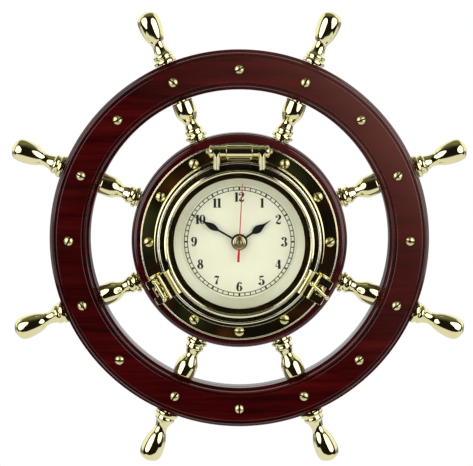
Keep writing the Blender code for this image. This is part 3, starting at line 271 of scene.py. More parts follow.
def new_material(name):
    """A material with its tree, its shader and its object coordinates."""
    look = bpy.data.materials.new(name)
    look.use_nodes = True
    nodes = look.node_tree.nodes
    coordinates = nodes.new("ShaderNodeTexCoord").outputs["Object"]
    return look, look.node_tree, nodes["Principled BSDF"], coordinates


def noise_of(tree, vector, stretch, detail=2.0, roughness=0.5, distortion=0.0, shift=(0, 0, 0)):
    """Noise with so many waves a metre along x, y and z."""
    mapping = tree.nodes.new("ShaderNodeMapping")
    mapping.inputs["Scale"].default_value = stretch
    mapping.inputs["Location"].default_value = shift
    noise = tree.nodes.new("ShaderNodeTexNoise")
    noise.inputs["Scale"].default_value = 1.0
    noise.inputs["Detail"].default_value = detail
    noise.inputs["Roughness"].default_value = roughness
    noise.inputs["Distortion"].default_value = distortion
    link(tree, (vector, mapping.inputs["Vector"]), (mapping.outputs[0], noise.inputs["Vector"]))
    return noise.outputs["Fac"]


def bumped(tree, shader, height, depth):
    """Give a shader a bump of so many metres."""
    bump = tree.nodes.new("ShaderNodeBump")
    bump.inputs["Strength"].default_value = 1.0
    bump.inputs["Distance"].default_value = depth
    link(tree, (height, bump.inputs["Height"]), (bump.outputs[0], shader.inputs["Normal"]))


def gloss_of(tree, shader, pattern, low, high):
    """Roughness that follows a pattern between two values."""
    span = tree.nodes.new("ShaderNodeMapRange")
    for name, value in (("From Min", 0.3), ("From Max", 0.7), ("To Min", low), ("To Max", high)):
        span.inputs[name].default_value = value
    link(tree, (pattern, span.inputs["Value"]), (span.outputs[0], shader.inputs["Roughness"]))


print("ready to mix finishes")

# %% [markdown]
# The wheel is mahogany, stained deep red and lacquered until it mirrors. Its boards all lie the same way, so
# the grain runs level through the whole wheel: across the rim at its left and right, along it at top and
# bottom. Broad dark bands, a fine grain and short pores are three noises, each stretched along x. Towards
# the upper right the wood is painted lighter and browner, as painted light falling from that side.

# %% Lacquered mahogany
mahogany, tree, shader, place = new_material("lacquered_mahogany")
bands = noise_of(tree, place, (9, 60, 105), detail=3.0, roughness=0.55, distortion=0.6)
grain = noise_of(tree, place, (26, 300, 430), detail=4.0, roughness=0.6, distortion=0.5)
pores = noise_of(tree, place, (190, 2400, 3600), detail=1.0, shift=(3.1, 1.7, 5.3))
clouds = noise_of(tree, place, (7, 7, 11), detail=1.5, shift=(8.4, 2.2, 6.1))
banded = ramp_of(tree, bands, [
    (0.28, (0.017, 0.0008, 0.0012)), (0.43, (0.030, 0.0011, 0.0016)), (0.56, (0.043, 0.0015, 0.0020)),
    (0.74, (0.062, 0.0030, 0.0032)),
])
grain_tint = ramp_of(tree, grain, [
    (0.32, (0.30, 0.26, 0.26)), (0.50, (0.80, 0.80, 0.80)), (0.70, (1.30, 1.25, 1.15)),
])
grained = mix_of(tree, 0.55, banded, grain_tint, "MULTIPLY")
pored = mix_of(tree, ramp_of(tree, pores, [(0.60, 0.0), (0.70, 0.42)]), grained, (0.010, 0.0025, 0.003))
parted = tree.nodes.new("ShaderNodeSeparateXYZ")
link(tree, (place, parted.inputs[0]))
# Painted light: the colour turns lighter and browner towards the upper right, where the light falls.
painted_light_rise = math_of(tree, "MULTIPLY", parted.outputs["Z"], 4.3)
towards_painted_light = math_of(tree, "MULTIPLY_ADD", parted.outputs["X"], 5.1, painted_light_rise)
painted_light_share = ramp_of(tree, towards_painted_light, [(0.0, 0.0), (0.25, 0.10), (0.60, 0.24), (0.78, 0.42), (0.94, 0.85)])
painted_light_wood = mix_of(tree, painted_light_share, pored, (0.092, 0.031, 0.025))
cloud_tint = ramp_of(tree, clouds, [(0.35, (0.66, 0.70, 0.78)), (0.65, (1.25, 1.2, 1.05))])
stained = mix_of(tree, 0.35, painted_light_wood, cloud_tint, "MULTIPLY")
link(tree, (stained, shader.inputs["Base Color"]))
gloss_of(tree, shader, grain, 0.26, 0.42)
shader.inputs["Specular IOR Level"].default_value = 0.0
shader.inputs["Coat Weight"].default_value = 1.0
shader.inputs["Coat Roughness"].default_value = 0.045
shader.inputs["Coat IOR"].default_value = 1.52
bumped(tree, shader, noise_of(tree, place, (160, 160, 160), detail=1.0), 0.00004)
print("mahogany with", len(tree.nodes), "nodes")

# %% [markdown]
# All the metal is brass, mirror polished. A perfect mirror would look like a drawing, so the polish varies
# a little from place to place, and fine hairlines catch the light close up. Screws are duller than the rest,
# grooves and slots get a dark brass as painted shade, beads a near-white brass as a painted highlight, and
# the hinge arms a pale rough brass as a painted sheen, so the same recipe is mixed with other values.

# %% Polished brass
POLISHED, BRUSHED = 0.0000006, 0.000002      # depth of the hairlines, in metres
WAVE_DEPTH = 0.00002
WORN_SHARE = (0.95, 0.94, 0.86)              # how much of each colour the darker places keep


def brass_finish(name, color, low, high, hairline=POLISHED, metal=1.0):
    """Brass of a colour, with its roughness between two values."""
    look, tree, shader, place = new_material(name)
    wiped = noise_of(tree, place, (55, 55, 55), detail=3.0, roughness=0.6)
    waves = noise_of(tree, place, (42, 42, 42), detail=1.0, shift=(2.3, 0.4, 1.9))
    scratches = noise_of(tree, place, (900, 4200, 5200), detail=1.0, shift=(0.3, 0.9, 0.4))
    relief = math_of(tree, "MULTIPLY_ADD", waves, WAVE_DEPTH / hairline, scratches)
    worn = tuple(value * share for value, share in zip(color, WORN_SHARE))
    link(tree, (ramp_of(tree, wiped, [(0.32, worn), (0.68, color)]), shader.inputs["Base Color"]))
    shader.inputs["Metallic"].default_value = metal
    gloss_of(tree, shader, wiped, low, high)
    bumped(tree, shader, relief, hairline)
    return look


brass = brass_finish("polished_brass", (0.93, 0.87, 0.51), 0.03, 0.065)
# Painted shade: a dark brass for slots, the inside of the collar and the low outer wall of the sash, where
# shade falls.
painted_shade_brass = brass_finish("painted_shade_brass", (0.10, 0.085, 0.05), 0.2, 0.35)
satin_brass = brass_finish("satin_brass", (0.94, 0.86, 0.47), 0.28, 0.40, hairline=BRUSHED)
# Painted sheen: paler than brass is, and rough as cast, so that the hinge arms show an even bright cream.
painted_sheen_cast_brass = brass_finish("painted_sheen_cast_brass", (0.98, 0.95, 0.70), 0.46, 0.54, hairline=BRUSHED)
# Painted highlight: a near-white brass that makes the beads read as bright lines.
painted_highlight_brass = brass_finish("painted_highlight_brass", (0.99, 0.97, 0.84), 0.10, 0.18)
champagne = brass_finish("champagne_bezel", (0.80, 0.80, 0.64), 0.36, 0.44, metal=0.35)
cap_brass = brass_finish("cap_brass", (0.84, 0.74, 0.40), 0.14, 0.22)
print("seven finishes of brass")

# %% [markdown]
# The dial is a disc of metal in warm ivory, printed in black. Ivory has a faint mottle and a satin surface.
# The hands are black and red enamel, which is nearly flat in colour, so their life is in the gloss.

# %% Dial ivory and enamels
ivory, tree, shader, place = new_material("dial_ivory")
mottle = noise_of(tree, place, (70, 70, 70), detail=4.0, roughness=0.65)
link(tree, (ramp_of(tree, mottle, [(0.3, (0.860, 0.855, 0.640)), (0.7, (0.910, 0.900, 0.700))]),
            shader.inputs["Base Color"]))
gloss_of(tree, shader, mottle, 0.42, 0.52)
bumped(tree, shader, noise_of(tree, place, (1500, 1500, 1500), detail=2.0), 0.000004)


def enamel_finish(name, dark, light, low, high, waves=240.0):
    """A paint between two colours, with its roughness between two values."""
    look, tree, shader, place = new_material(name)
    flow = noise_of(tree, place, (waves, waves, waves), detail=2.0)
    link(tree, (ramp_of(tree, flow, [(0.3, dark), (0.7, light)]), shader.inputs["Base Color"]))
    gloss_of(tree, shader, flow, low, high)
    bumped(tree, shader, flow, 0.000006)
    return look


black_enamel = enamel_finish("black_enamel", (0.004, 0.004, 0.004), (0.009, 0.009, 0.009), 0.30, 0.42)
print_ink = enamel_finish("print_ink", (0.006, 0.006, 0.007), (0.014, 0.014, 0.015), 0.45, 0.6, waves=700.0)
red_enamel = enamel_finish("red_enamel", (0.48, 0.012, 0.016), (0.62, 0.020, 0.022), 0.28, 0.4)
black_plastic = enamel_finish("black_plastic", (0.018, 0.018, 0.02), (0.03, 0.03, 0.032), 0.5, 0.62,
                              waves=900.0)
battery_jacket = enamel_finish("battery_jacket", (0.05, 0.12, 0.09), (0.08, 0.17, 0.12), 0.3, 0.4)
print("ivory, ink, two enamels, black plastic and the battery's jacket")

# %% [markdown]
# The floor is a sheet of white paper. It takes the clock's shadow as any paper would. Brass mirrors it as an
# even white instead: mirror reflections read a plain glow there, which Light Path tells from all other rays.

# %% White floor
pale_floor = enamel_finish("pale_floor", (0.80, 0.80, 0.79), (0.84, 0.84, 0.83), 0.6, 0.7, waves=3.0)
floor.data.materials.append(pale_floor)
tree = pale_floor.node_tree
sheet_white = tree.nodes.new("ShaderNodeEmission")
sheet_white.inputs["Strength"].default_value = 0.8
rays = tree.nodes.new("ShaderNodeLightPath").outputs
sheet_mix = tree.nodes.new("ShaderNodeMixShader")
link(tree, (rays["Is Glossy Ray"], sheet_mix.inputs[0]),
     (tree.nodes["Principled BSDF"].outputs[0], sheet_mix.inputs[1]),
     (sheet_white.outputs[0], sheet_mix.inputs[2]),
     (sheet_mix.outputs[0], tree.nodes["Material Output"].inputs["Surface"]))
print("the floor is", round(floor.dimensions.x, 1), "m wide")

# %% [markdown]
# The hanger at the back is zinc-plated steel, brushed along its length, duller than the brass.

# %% Steel
steel, tree, shader, place = new_material("zinc_steel")
brushing = noise_of(tree, place, (120, 900, 3200), detail=3.0)
link(tree, (ramp_of(tree, brushing, [(0.3, (0.42, 0.43, 0.45)), (0.7, (0.60, 0.61, 0.62))]),
            shader.inputs["Base Color"]))
shader.inputs["Metallic"].default_value = 1.0
gloss_of(tree, shader, brushing, 0.26, 0.42)
bumped(tree, shader, brushing, 0.000008)
print("steel with", len(tree.nodes), "nodes")

# %% [markdown]
# Window glass this thin hardly bends light, so the pane is clear, with a mirror mixed in by the Fresnel law:
# a few parts in a hundred face on, far more at a slant. Light then reaches the dial without noise. On its way
# out, light meets the glass from inside, where the law would throw slanted rays back, so the index is turned
# over there and both faces act alike.

# %% Pane glass
GLASS_INDEX = 1.5

pane_glass, tree, shader, place = new_material("pane_glass")
smears = noise_of(tree, place, (30, 30, 30), detail=2.0)
shader.inputs["Metallic"].default_value = 1.0
shader.inputs["Base Color"].default_value = (*WHITE, 1.0)
gloss_of(tree, shader, smears, 0.0, 0.02)
clear = tree.nodes.new("ShaderNodeBsdfTransparent")
clear.inputs["Color"].default_value = (0.995, 0.998, 0.995, 1.0)
leaving = tree.nodes.new("ShaderNodeNewGeometry").outputs["Backfacing"]
glass_index = math_of(tree, "MULTIPLY_ADD", leaving, 1 / GLASS_INDEX - GLASS_INDEX, GLASS_INDEX)
fresnel = tree.nodes.new("ShaderNodeFresnel")
link(tree, (glass_index, fresnel.inputs["IOR"]))
blend = tree.nodes.new("ShaderNodeMixShader")
link(tree, (fresnel.outputs[0], blend.inputs[0]), (clear.outputs[0], blend.inputs[1]),
     (shader.outputs[0], blend.inputs[2]),
     (blend.outputs[0], tree.nodes["Material Output"].inputs["Surface"]))
print("pane glass of index", GLASS_INDEX)

# %% [markdown]
# Nearly every piece of this clock comes off a lathe, so the first tool is a lathe. A turner cuts a profile
# into a spinning blank. In Blender the profile is drawn as a chain of points, each extruded from the last,
# and the Spin tool sweeps the chain round an axis. Doubles are merged afterwards, so that the seam and the
# poles close, and only then are the normals made to point outwards. Flat pieces start as the same kind of
# chain, which is closed, filled and drawn out to its thickness.

# %% The lathe and the flat outline
MERGE_DISTANCE = 0.000002


def work_on(piece):
    """Make one piece the only one that is selected and active."""
    bpy.ops.object.select_all(action="DESELECT")
    piece.select_set(True)
    bpy.context.view_layer.objects.active = piece


def close_up():
    """In edit mode: merge doubles, turn the faces outwards, and leave edit mode."""
    bpy.ops.mesh.select_all(action="SELECT")
    bpy.ops.mesh.remove_doubles(threshold=MERGE_DISTANCE)
    bpy.ops.mesh.normals_make_consistent(inside=False)
    bpy.ops.object.mode_set(mode="OBJECT")


def chain_of(name, points):
    """Draw a chain of edges through points in metres, and stay in edit mode with all of it selected."""
    bpy.ops.object.select_all(action="DESELECT")
    bpy.ops.mesh.primitive_plane_add(size=MM, location=points[0])
    piece = bpy.context.object
    piece.name = name
    bpy.ops.object.transform_apply(location=True, rotation=True, scale=True)
    bpy.ops.object.mode_set(mode="EDIT")
    bpy.ops.mesh.select_all(action="SELECT")
    bpy.ops.mesh.merge(type="CENTER")
    for start, end in zip(points, points[1:]):
        bpy.ops.mesh.extrude_region_move(TRANSFORM_OT_translate={"value": end - start})
    bpy.ops.mesh.select_all(action="SELECT")
    return piece


def lathe(name, profile, steps, axis=(0, -1, 0), outward=(1, 0, 0), centre=(0, 0, 0), ring=False):
    """Turn a profile of (radius, place along the axis) points, in millimetres."""
    axis, outward, centre = Vector(axis), Vector(outward), Vector(centre) * MM
    points = [centre + outward * radius * MM + axis * along * MM for radius, along in profile]
    piece = chain_of(name, points + points[:1] if ring else points)
    bpy.ops.mesh.spin(steps=steps, angle=2 * pi, center=centre, axis=axis)
    close_up()
    return piece


def drawn_out(name, corners, reach):
    """Fill an outline of corners in metres, and draw it out by a vector in metres."""
    piece = chain_of(name, corners + corners[:1])
    bpy.ops.mesh.remove_doubles(threshold=MERGE_DISTANCE)
    bpy.ops.mesh.select_all(action="SELECT")
    bpy.ops.mesh.edge_face_add()
    bpy.ops.mesh.extrude_region_move(TRANSFORM_OT_translate={"value": reach})
    close_up()
    return piece


print("doubles merge within", MERGE_DISTANCE, "m")

# %% [markdown]
# A profile is a list of points. Round stretches are worked out as arcs, swells run smoothly through a few
# measured points, and an end that is the same on both sides is written once and mirrored.

# %% Drawing profiles


def arc(centre, radii, start, end, steps):
    """Points of an arc in a profile; angles in degrees, 0 along the radius and 90 along the axis."""
    across, along = centre
    wide, high = radii
    angles = [radians(start + (end - start) * index / steps) for index in range(steps + 1)]
    return [(across + wide * cos(angle), along + high * sin(angle)) for angle in angles]


def flowing(points, steps=4):
    """A smooth line through points, as a turner's gouge leaves it."""
    line = []
    last = len(points) - 1
    for index in range(last):
        near = points[max(index - 1, 0)], points[index], points[index + 1], points[min(index + 2, last)]
        for step in range(steps):
            t = step / steps
            line.append(tuple(
                0.5 * (2 * b + (c - a) * t + (2 * a - 5 * b + 4 * c - d) * t * t
                       + (3 * b - a - 3 * c + d) * t ** 3)
                for a, b, c, d in zip(*near)
            ))
    return line + [points[-1]]


def mirrored_end(profile):
    """The same end of a turning on its other side."""
    return [(radius, -along) for radius, along in reversed(profile)]


def plain_bar(radius, start, end):
    """Profile of a plain round bar."""
    return [(0, start), (radius, start), (radius, end), (0, end)]


print("a plain bar is drawn as", plain_bar(1, 0, 5))

# %% [markdown]
# Cuts, welds and broken edges are modifiers. Each is added and applied at once, so that the next tool finds a
# plain mesh. The Exact solver is used throughout, because it copes with faces that lie in one plane.

# %% Cutting, welding and breaking edges


def apply(piece, kind, **settings):
    """Add a modifier and apply it."""
    work_on(piece)
    modifier = piece.modifiers.new(kind.lower(), kind)
    for name, value in settings.items():
        setattr(modifier, name, value)
    bpy.ops.object.modifier_apply(modifier=modifier.name)
    return piece


def soften(piece, width, segments=2, angle=35.0):
    """Break the sharp edges of a piece, in millimetres."""
    return apply(piece, "BEVEL", width=width * MM, segments=segments, limit_method="ANGLE",
                 angle_limit=radians(angle), use_clamp_overlap=True, harden_normals=False)


def combine(piece, other, operation, keep=False):
    """Apply a Boolean with another piece, which is used up unless it is kept."""
    apply(piece, "BOOLEAN", operation=operation, solver="EXACT", object=other)
    if not keep:
        bpy.data.objects.remove(other)
    return piece


def carve(piece, cutter, keep=False):
    """Cut one piece out of another."""
    return combine(piece, cutter, "DIFFERENCE", keep)


def weld_on(piece, other):
    """Grow a piece together with another."""
    return combine(piece, other, "UNION")


def shape_with(piece, shape):
    """Keep only what a piece and a shape share."""
    return combine(piece, shape, "INTERSECT")


print("ready to carve, weld and break edges")

# %% [markdown]
# A finished piece is shaded smooth by angle, gets its finish, and is hung on the body that it moves with. It
# also takes the place of the measured model's own piece. Its turn and its place are put into its mesh, so its
# object stays at the origin.

# %% Placing and hanging


def place_piece(piece, shift=(0, 0, 0), turn=(0, 0, 0)):
    """Turn and move a piece, in degrees and millimetres, and put its place into its mesh."""
    work_on(piece)
    piece.rotation_euler = [radians(value) for value in turn]
    piece.location = Vector(shift) * MM
    bpy.ops.object.transform_apply(location=True, rotation=True, scale=True)
    return piece


def copy_of(piece, name):
    """A copy with a mesh of its own."""
    twin = piece.copy()
    twin.data = piece.data.copy()
    twin.name = name
    bpy.context.scene.collection.objects.link(twin)
    return twin


def finish_piece(piece, look, body, slot, *nodes, smooth=32.0):
    """Shade, paint and hang a finished piece on its body."""
    work_on(piece)
    bpy.ops.object.shade_smooth_by_angle(angle=radians(smooth))
    if piece.data.materials:
        piece.data.materials[0] = look
    else:
        piece.data.materials.append(look)
    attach(piece, body)
    if nodes:
        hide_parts(*nodes)


def face_place(angle, radius, height):
    """World millimetres of a place on the face: clock angle in degrees, radius, height off the wall."""
    return (radius * sin(radians(angle)), -height, radius * cos(radians(angle)))


print("the face's three o'clock points along", [round(value, 3) for value in face_place(90, 1, 0)])

# %% [markdown]
# The rim is glued up from two rings of mahogany, with half of a round groove for each spoke in either one,
# so the joint runs level with the spokes. Both edges carry the same moulding: a small groove cut into the
# flat, a steep round flank, and a narrow ledge before the wall. It is drawn once, as offsets from the edge.
# Where a small round meets a flat, a second point close by keeps the flat truly flat in the shading.

# %% Rim
MOULDING = [
    (6.45, 0.0), (6.2, 0.0), (5.95, 0.05), (5.7, 0.2), (5.5, 0.45), (5.4, 0.85), (5.35, 1.5), (5.1, 1.75),
    (4.3, 1.75), (4.05, 1.5), (3.95, 1.1), (3.8, 0.85), (3.55, 0.72), (3.3, 0.75), (3.0, 1.0), (2.75, 1.5),
    (2.5, 2.4), (2.25, 3.5), (2.05, 4.6), (1.9, 5.5), (1.75, 5.75), (1.45, 5.85), (0.5, 5.9), (0.15, 6.05),
    (0.0, 6.5), (0.0, 6.8),
]
BACK_EDGE = [(0.4, 10.99), (0.0, 10.5), (0.0, 1.9), (0.0, 1.6), (0.4, 0.5), (1.5, 0.0), (1.8, 0.0)]
RIM_RADIUS, RIM_INSIDE, RIM_THICKNESS = 147.8, 116.9, 22.0
RIM_STEPS = 192
SPOKE_HEIGHT = 11.0      # the spokes lie this far off the wall
SPOKE_BORE = 4.8

outer_edge = [(RIM_RADIUS - back, RIM_THICKNESS - down) for back, down in MOULDING]
inner_edge = [(RIM_INSIDE + back, RIM_THICKNESS - down) for back, down in MOULDING]
joint = [(RIM_RADIUS, 11.5), (RIM_RADIUS - 0.4, 11.01), (RIM_INSIDE + 0.4, 11.01), (RIM_INSIDE, 11.5)]
front_rim_ring = lathe("front_rim_ring", outer_edge + joint + inner_edge[::-1], RIM_STEPS, ring=True)
back_profile = [(RIM_RADIUS - back, height) for back, height in BACK_EDGE]
back_profile += [(RIM_INSIDE + back, height) for back, height in reversed(BACK_EDGE)]
back_rim_ring = lathe("back_rim_ring", back_profile, RIM_STEPS, ring=True)
SPOKE_ANGLES = [22.5 + 45.0 * index for index in range(8)]


def spoke_bit(start, end, angle):
    """A round cutter along a spoke's axis, between two distances from the wheel's centre."""
    profile = plain_bar(SPOKE_BORE, start, end)
    bit = lathe("spoke_bit", profile, 24, axis=(0, 0, 1), centre=(0, -SPOKE_HEIGHT, 0))
    return place_piece(bit, turn=(0, angle, 0))


for angle in SPOKE_ANGLES:
    groove = spoke_bit(109, 156, angle)
    carve(front_rim_ring, groove, keep=True)
    carve(back_rim_ring, groove)
finish_piece(front_rim_ring, mahogany, "wheel", "mahogany", "rim_front")
finish_piece(back_rim_ring, mahogany, "wheel", "mahogany", "rim_back")
print("rim", 2 * RIM_RADIUS, "mm across,", len(front_rim_ring.data.polygons), "faces in its front ring")

# %% [markdown]
# The hub is a thick disc. Its edge is moulded like the rim's but finer, the porthole covers nearly all of its
# front, and its back has a shallow recess for the hanger. The pocket for the movement and the eight tenon
# holes are cut in too, with Boolean modifiers, although the porthole hides them.

# %% Hub
HUB_RADIUS, HUB_THICKNESS = 83.7, 25.0
hub_edge = [(79.3, HUB_THICKNESS), (79.42, 24.9), (79.5, 24.7), (79.5, 24.2), (79.8, 24.1)]
hub_edge += [(79.8 + 3.3 * sin(radians(turn)), 24.1 - 3.4 * (1 - cos(radians(turn))))
             for turn in range(10, 91, 10)]
hub_edge += [(83.12, 20.2), (83.3, 20.05), (83.55, 19.9), (HUB_RADIUS, 19.5)]
hub_back = [(HUB_RADIUS, 1.9), (HUB_RADIUS, 1.6), (83.3, 0.5), (82.2, 0.0), (81.9, 0.0), (0, 0)]
hub_disc = lathe("hub_disc", [(0, HUB_THICKNESS)] + hub_edge + hub_back, RIM_STEPS)


def block(name, low, high):
    """A box between two corners, given in millimetres as (x, z, height off the wall)."""
    bpy.ops.object.select_all(action="DESELECT")
    bpy.ops.mesh.primitive_cube_add(size=1.0)
    piece = bpy.context.object
    piece.name = name
    middle = [(a + b) / 2 for a, b in zip(low, high)]
    piece.scale = Vector((high[0] - low[0], high[2] - low[2], high[1] - low[1])) * MM
    piece.location = Vector((middle[0], -middle[2], middle[1])) * MM
    bpy.ops.object.transform_apply(location=True, rotation=True, scale=True)
    return piece


carve(hub_disc, block("movement_pocket", (-29, -29, 6), (29, 29, 40)))
carve(hub_disc, block("hanger_recess", (-21, 54.5, -5), (21, 65.5, 3.0)))
for angle in SPOKE_ANGLES:
    carve(hub_disc, spoke_bit(66.2, 100, angle))
finish_piece(hub_disc, mahogany, "wheel", "mahogany", "hub")
print("hub", 2 * HUB_RADIUS, "mm across")

# %% [markdown]
# Each spoke is one brass turning, about 124 mm long. From the hub outwards it has a tenon, a plain collar,
# two rings with a groove between them, and a baluster that swells to the rim. A plain shank crosses the rim.
# The same two rings and a pear-shaped grip follow outside it. The radii are read from the photograph, and
# the swells are a smooth line through them, because a gouge leaves no corners there.

# %% Spokes
SPOKE_START, SPOKE_END = 66.9, 190.5
tenon = [(0, SPOKE_START), (4.2, SPOKE_START), (4.5, 67.3)]
baluster_rings = [
    (4.5, 84.1), (6.6, 84.1), (6.75, 84.4), (6.75, 85.9), (7.9, 86.1), (8.35, 86.5), (8.45, 87.3),
    (8.3, 88.2), (7.6, 88.7), (6.6, 89.1), (6.45, 89.8), (6.6, 90.6), (6.85, 91.2), (6.95, 92.2),
    (6.8, 93.1), (6.1, 93.8), (5.7, 94.6),
]
baluster = flowing([
    (5.4, 95.6), (4.8, 97.6), (5.0, 98.8), (5.5, 100.4), (6.35, 102.0), (7.15, 103.5), (7.8, 105.0),
    (8.25, 106.6), (8.45, 108.6), (8.5, 111.0), (8.4, 113.6), (8.25, 115.4),
])
baluster_end = [(7.95, 116.0), (7.4, 116.25), (4.5, 116.3)]
grip_rings = [
    (4.5, 148.1), (8.3, 148.1), (8.8, 148.5), (8.9, 149.3), (8.85, 150.4), (8.35, 151.2), (7.55, 151.5),
    (7.25, 151.8), (7.25, 152.3), (7.5, 152.75), (7.7, 153.4), (7.7, 154.6), (7.4, 155.3), (6.6, 155.9),
    (6.05, 156.8),
]
grip = flowing([
    (5.5, 158.4), (4.8, 161.5), (5.1, 164.6), (5.65, 166.2), (6.45, 167.8), (7.55, 171.0), (8.2, 174.0),
    (8.65, 177.2), (8.9, 181.0), (8.75, 183.3), (8.35, 185.2), (7.7, 186.7), (6.65, 187.9), (5.1, 188.9),
    (3.0, 189.8), (1.4, 190.3), (0.0, SPOKE_END),
])
spoke_profile = tenon + baluster_rings + baluster + baluster_end + grip_rings + grip
first_spoke = lathe("turned_spoke_1", spoke_profile, 48, axis=(0, 0, 1), centre=(0, -SPOKE_HEIGHT, 0))
for number, angle in enumerate(SPOKE_ANGLES, start=1):
    spoke = first_spoke if number == 8 else copy_of(first_spoke, f"turned_spoke_{number}")
    spoke.name = f"turned_spoke_{number}"
    place_piece(spoke, turn=(0, angle, 0))
    finish_piece(spoke, brass, "wheel", "brass", f"spoke_{number}", smooth=40.0)
print("spoke", round(SPOKE_END - SPOKE_START, 1), "mm long,", len(first_spoke.data.polygons), "faces")

# %% [markdown]
# Some pieces have a second finish in places: painted shade in a groove, a painted highlight on a bead, a
# brushed face. By hand one would pick the faces in edit mode and assign another material. Here a test on a
# place picks them.

# %% Second finishes


def finish_faces(piece, look, chosen):
    """Give a second finish to the faces whose corners all pass a test of (x, z, height off the wall)."""
    if not piece.data.materials:
        piece.data.materials.append(brass)
    piece.data.materials.append(look)
    number = len(piece.data.materials) - 1
    for face in piece.data.polygons:
        corners = [piece.data.vertices[index].co / MM for index in face.vertices]
        if all(chosen(corner.x, corner.z, -corner.y) for corner in corners):
            face.material_index = number


def on_ring(inside, outside, low, high):
    """A test for places between two radii and two heights off the wall."""
    return lambda x, z, away: inside < sqrt(x * x + z * z) < outside and low < away < high


print("ready to give second finishes")

# %% [markdown]
# Sixteen round-head wood screws hold the rim together, and nine smaller ones the porthole. A head is a dome
# with a slot sawn across it. One screw is turned, its slot is cut with a Boolean, and each copy is turned
# until its slot leans as in the photo, since nobody lines up the slots of such screws.

# %% Slotted screws
HEAD_EDGE = 0.35         # upright edge under the dome
SLOT_MARGIN = 0.01


def slotted_screw(name, radius, height, shank, length, slot_width, slot_depth):
    """A round-head wood screw along -y with its head's underside at y = 0."""
    dome = [(radius * cos(radians(turn)), HEAD_EDGE + (height - HEAD_EDGE) * sin(radians(turn)))
            for turn in range(0, 81, 10)]
    shaft = [(radius, 0.0), (shank, 0.0), (shank, -length * 0.7), (0, -length)]
    screw = lathe(name, [(0, height)] + dome[::-1] + shaft, 40)
    half, slot_floor = slot_width / 2, height - slot_depth
    carve(screw, block("saw", (-2 * radius, -half, slot_floor), (2 * radius, half, 2 * height)))
    # The slot's faces get the dark brass, a painted shade in the slot.
    finish_faces(screw, painted_shade_brass, lambda x, z, away: (
        abs(z) <= half + SLOT_MARGIN and away > slot_floor - SLOT_MARGIN))
    return screw


def drive_screws(pattern, kind, angles, slots, circle, seat):
    """Put a copy of a screw at each angle of a circle, its slot turned, and take the pattern away."""
    for number, (angle, slot) in enumerate(zip(angles, slots), start=1):
        screw = copy_of(pattern, f"{kind}_wood_screw_{number}")
        place_piece(screw, face_place(angle, circle, seat), (0, slot, 0))
        finish_piece(screw, satin_brass, "wheel", "brass", f"{kind}_screw_{number}")
    bpy.data.objects.remove(pattern)


RIM_SCREW_CIRCLE, RIM_SEAT = 132.35, 22.15
RIM_SCREW_ANGLES = [22.5 * index for index in range(16)]
RIM_SLOTS = [152, 120, 160, 135, 10, 142, 145, 25, 90, 128, 5, 50, 118, 25, 152, 38]
rim_screw = slotted_screw("rim_wood_screw", 3.65, 2.6, 1.8, 19.0, 1.2, 1.6)
drive_screws(rim_screw, "rim", RIM_SCREW_ANGLES, RIM_SLOTS, RIM_SCREW_CIRCLE, RIM_SEAT)

FLANGE_SCREW_CIRCLE, FLANGE_SEAT = 69.8, 28.42
FLANGE_SCREW_ANGLES = [angle for angle in range(0, 360, 30) if angle not in (0, 120, 240)]
FLANGE_SLOTS = [90, 50, 145, 5, 0, 50, 145, 100, 110]
flange_screw = slotted_screw("flange_wood_screw", 3.6, 2.2, 1.6, 14.0, 1.15, 1.5)
drive_screws(flange_screw, "flange", FLANGE_SCREW_ANGLES, FLANGE_SLOTS, FLANGE_SCREW_CIRCLE, FLANGE_SEAT)
print("screws:", len(RIM_SLOTS), "in the rim,", len(FLANGE_SLOTS), "in the flange")

# %% [markdown]
# The porthole's body is a casting turned all over: a flat flange with a bead round it, an upstanding collar
# with a bead on its inner edge, and a ledge inside for the sash to rest on. It is one profile on the lathe.
# Small fillets at the foot of the collar are drawn in, because a polished edge is never quite sharp.

# %% Porthole flange and collar
PORT_STEPS = 192
FLANGE_RADIUS, COLLAR_RADIUS = 76.5, 65.1
lip = [(FLANGE_RADIUS, 27.8)] + arc((75.85, 28.05), (0.65, 0.7), 0, 155, 9) + [(75.1, 28.3), (74.9, 28.3)]
collar_foot = [(65.9, 28.3)] + arc((65.7, 28.9), (0.6, 0.6), 270, 180, 4)
collar_edge = [(COLLAR_RADIUS, 37.45), (65.03, 37.62), (64.85, 37.7), (62.95, 37.7)]
bead = arc((61.8, 37.6), (1.0, 0.8), 0, 180, 10)
ledge = [(60.7, 37.3), (60.45, 36.5), (60.3, 36.1), (60.0, 36.0), (53.1, 36.0), (52.75, 35.85), (52.6, 35.5)]
porthole_profile = [(52.6, 25.3), (FLANGE_RADIUS, 25.3)] + lip + collar_foot + collar_edge + bead + ledge
porthole_ring = lathe("porthole_ring", porthole_profile, PORT_STEPS, ring=True)
print("porthole flange", 2 * FLANGE_RADIUS, "mm across, collar", 2 * COLLAR_RADIUS, "mm")

# %% [markdown]
# A hinge barrel stands on a block at the top of the flange, and two pairs of ears carry the swing bolts. They
# are cast in one with the body, so they are grown together with it by Boolean unions, after their own edges
# have been rounded. A pin fits through each with a little play.

# %% Hinge barrel and ears
HINGE_CENTRE = (70.4, 38.0)      # above the wheel's centre, and off the wall
DOG_CIRCLE = 70.4                # pivots of the two swing bolts
DOG_HEIGHT = 33.0
DOG_CENTRE = (DOG_CIRCLE, DOG_HEIGHT)
DOG_ANGLES = {"right": 120.0, "left": 240.0}
HINGE_BORE, PIVOT_BORE = 2.3, 1.9


def cross_lathe(name, profile, steps, centre):
    """Turn a profile whose axis lies along x; centre is (z, height off the wall)."""
    return lathe(name, profile, steps, axis=(1, 0, 0), outward=(0, 0, 1), centre=(0, -centre[1], centre[0]))


def rod(name, radius, start, end, centre, sides=48, edge=0.0):
    """A round bar along x, in millimetres, with its edges broken if an edge is given."""
    profile = plain_bar(radius, start, end)
    if edge:
        profile = [(0, start), (radius - edge, start), (radius, start + edge),
                   (radius, end - edge), (radius - edge, end), (0, end)]
    return cross_lathe(name, profile, sides, centre)


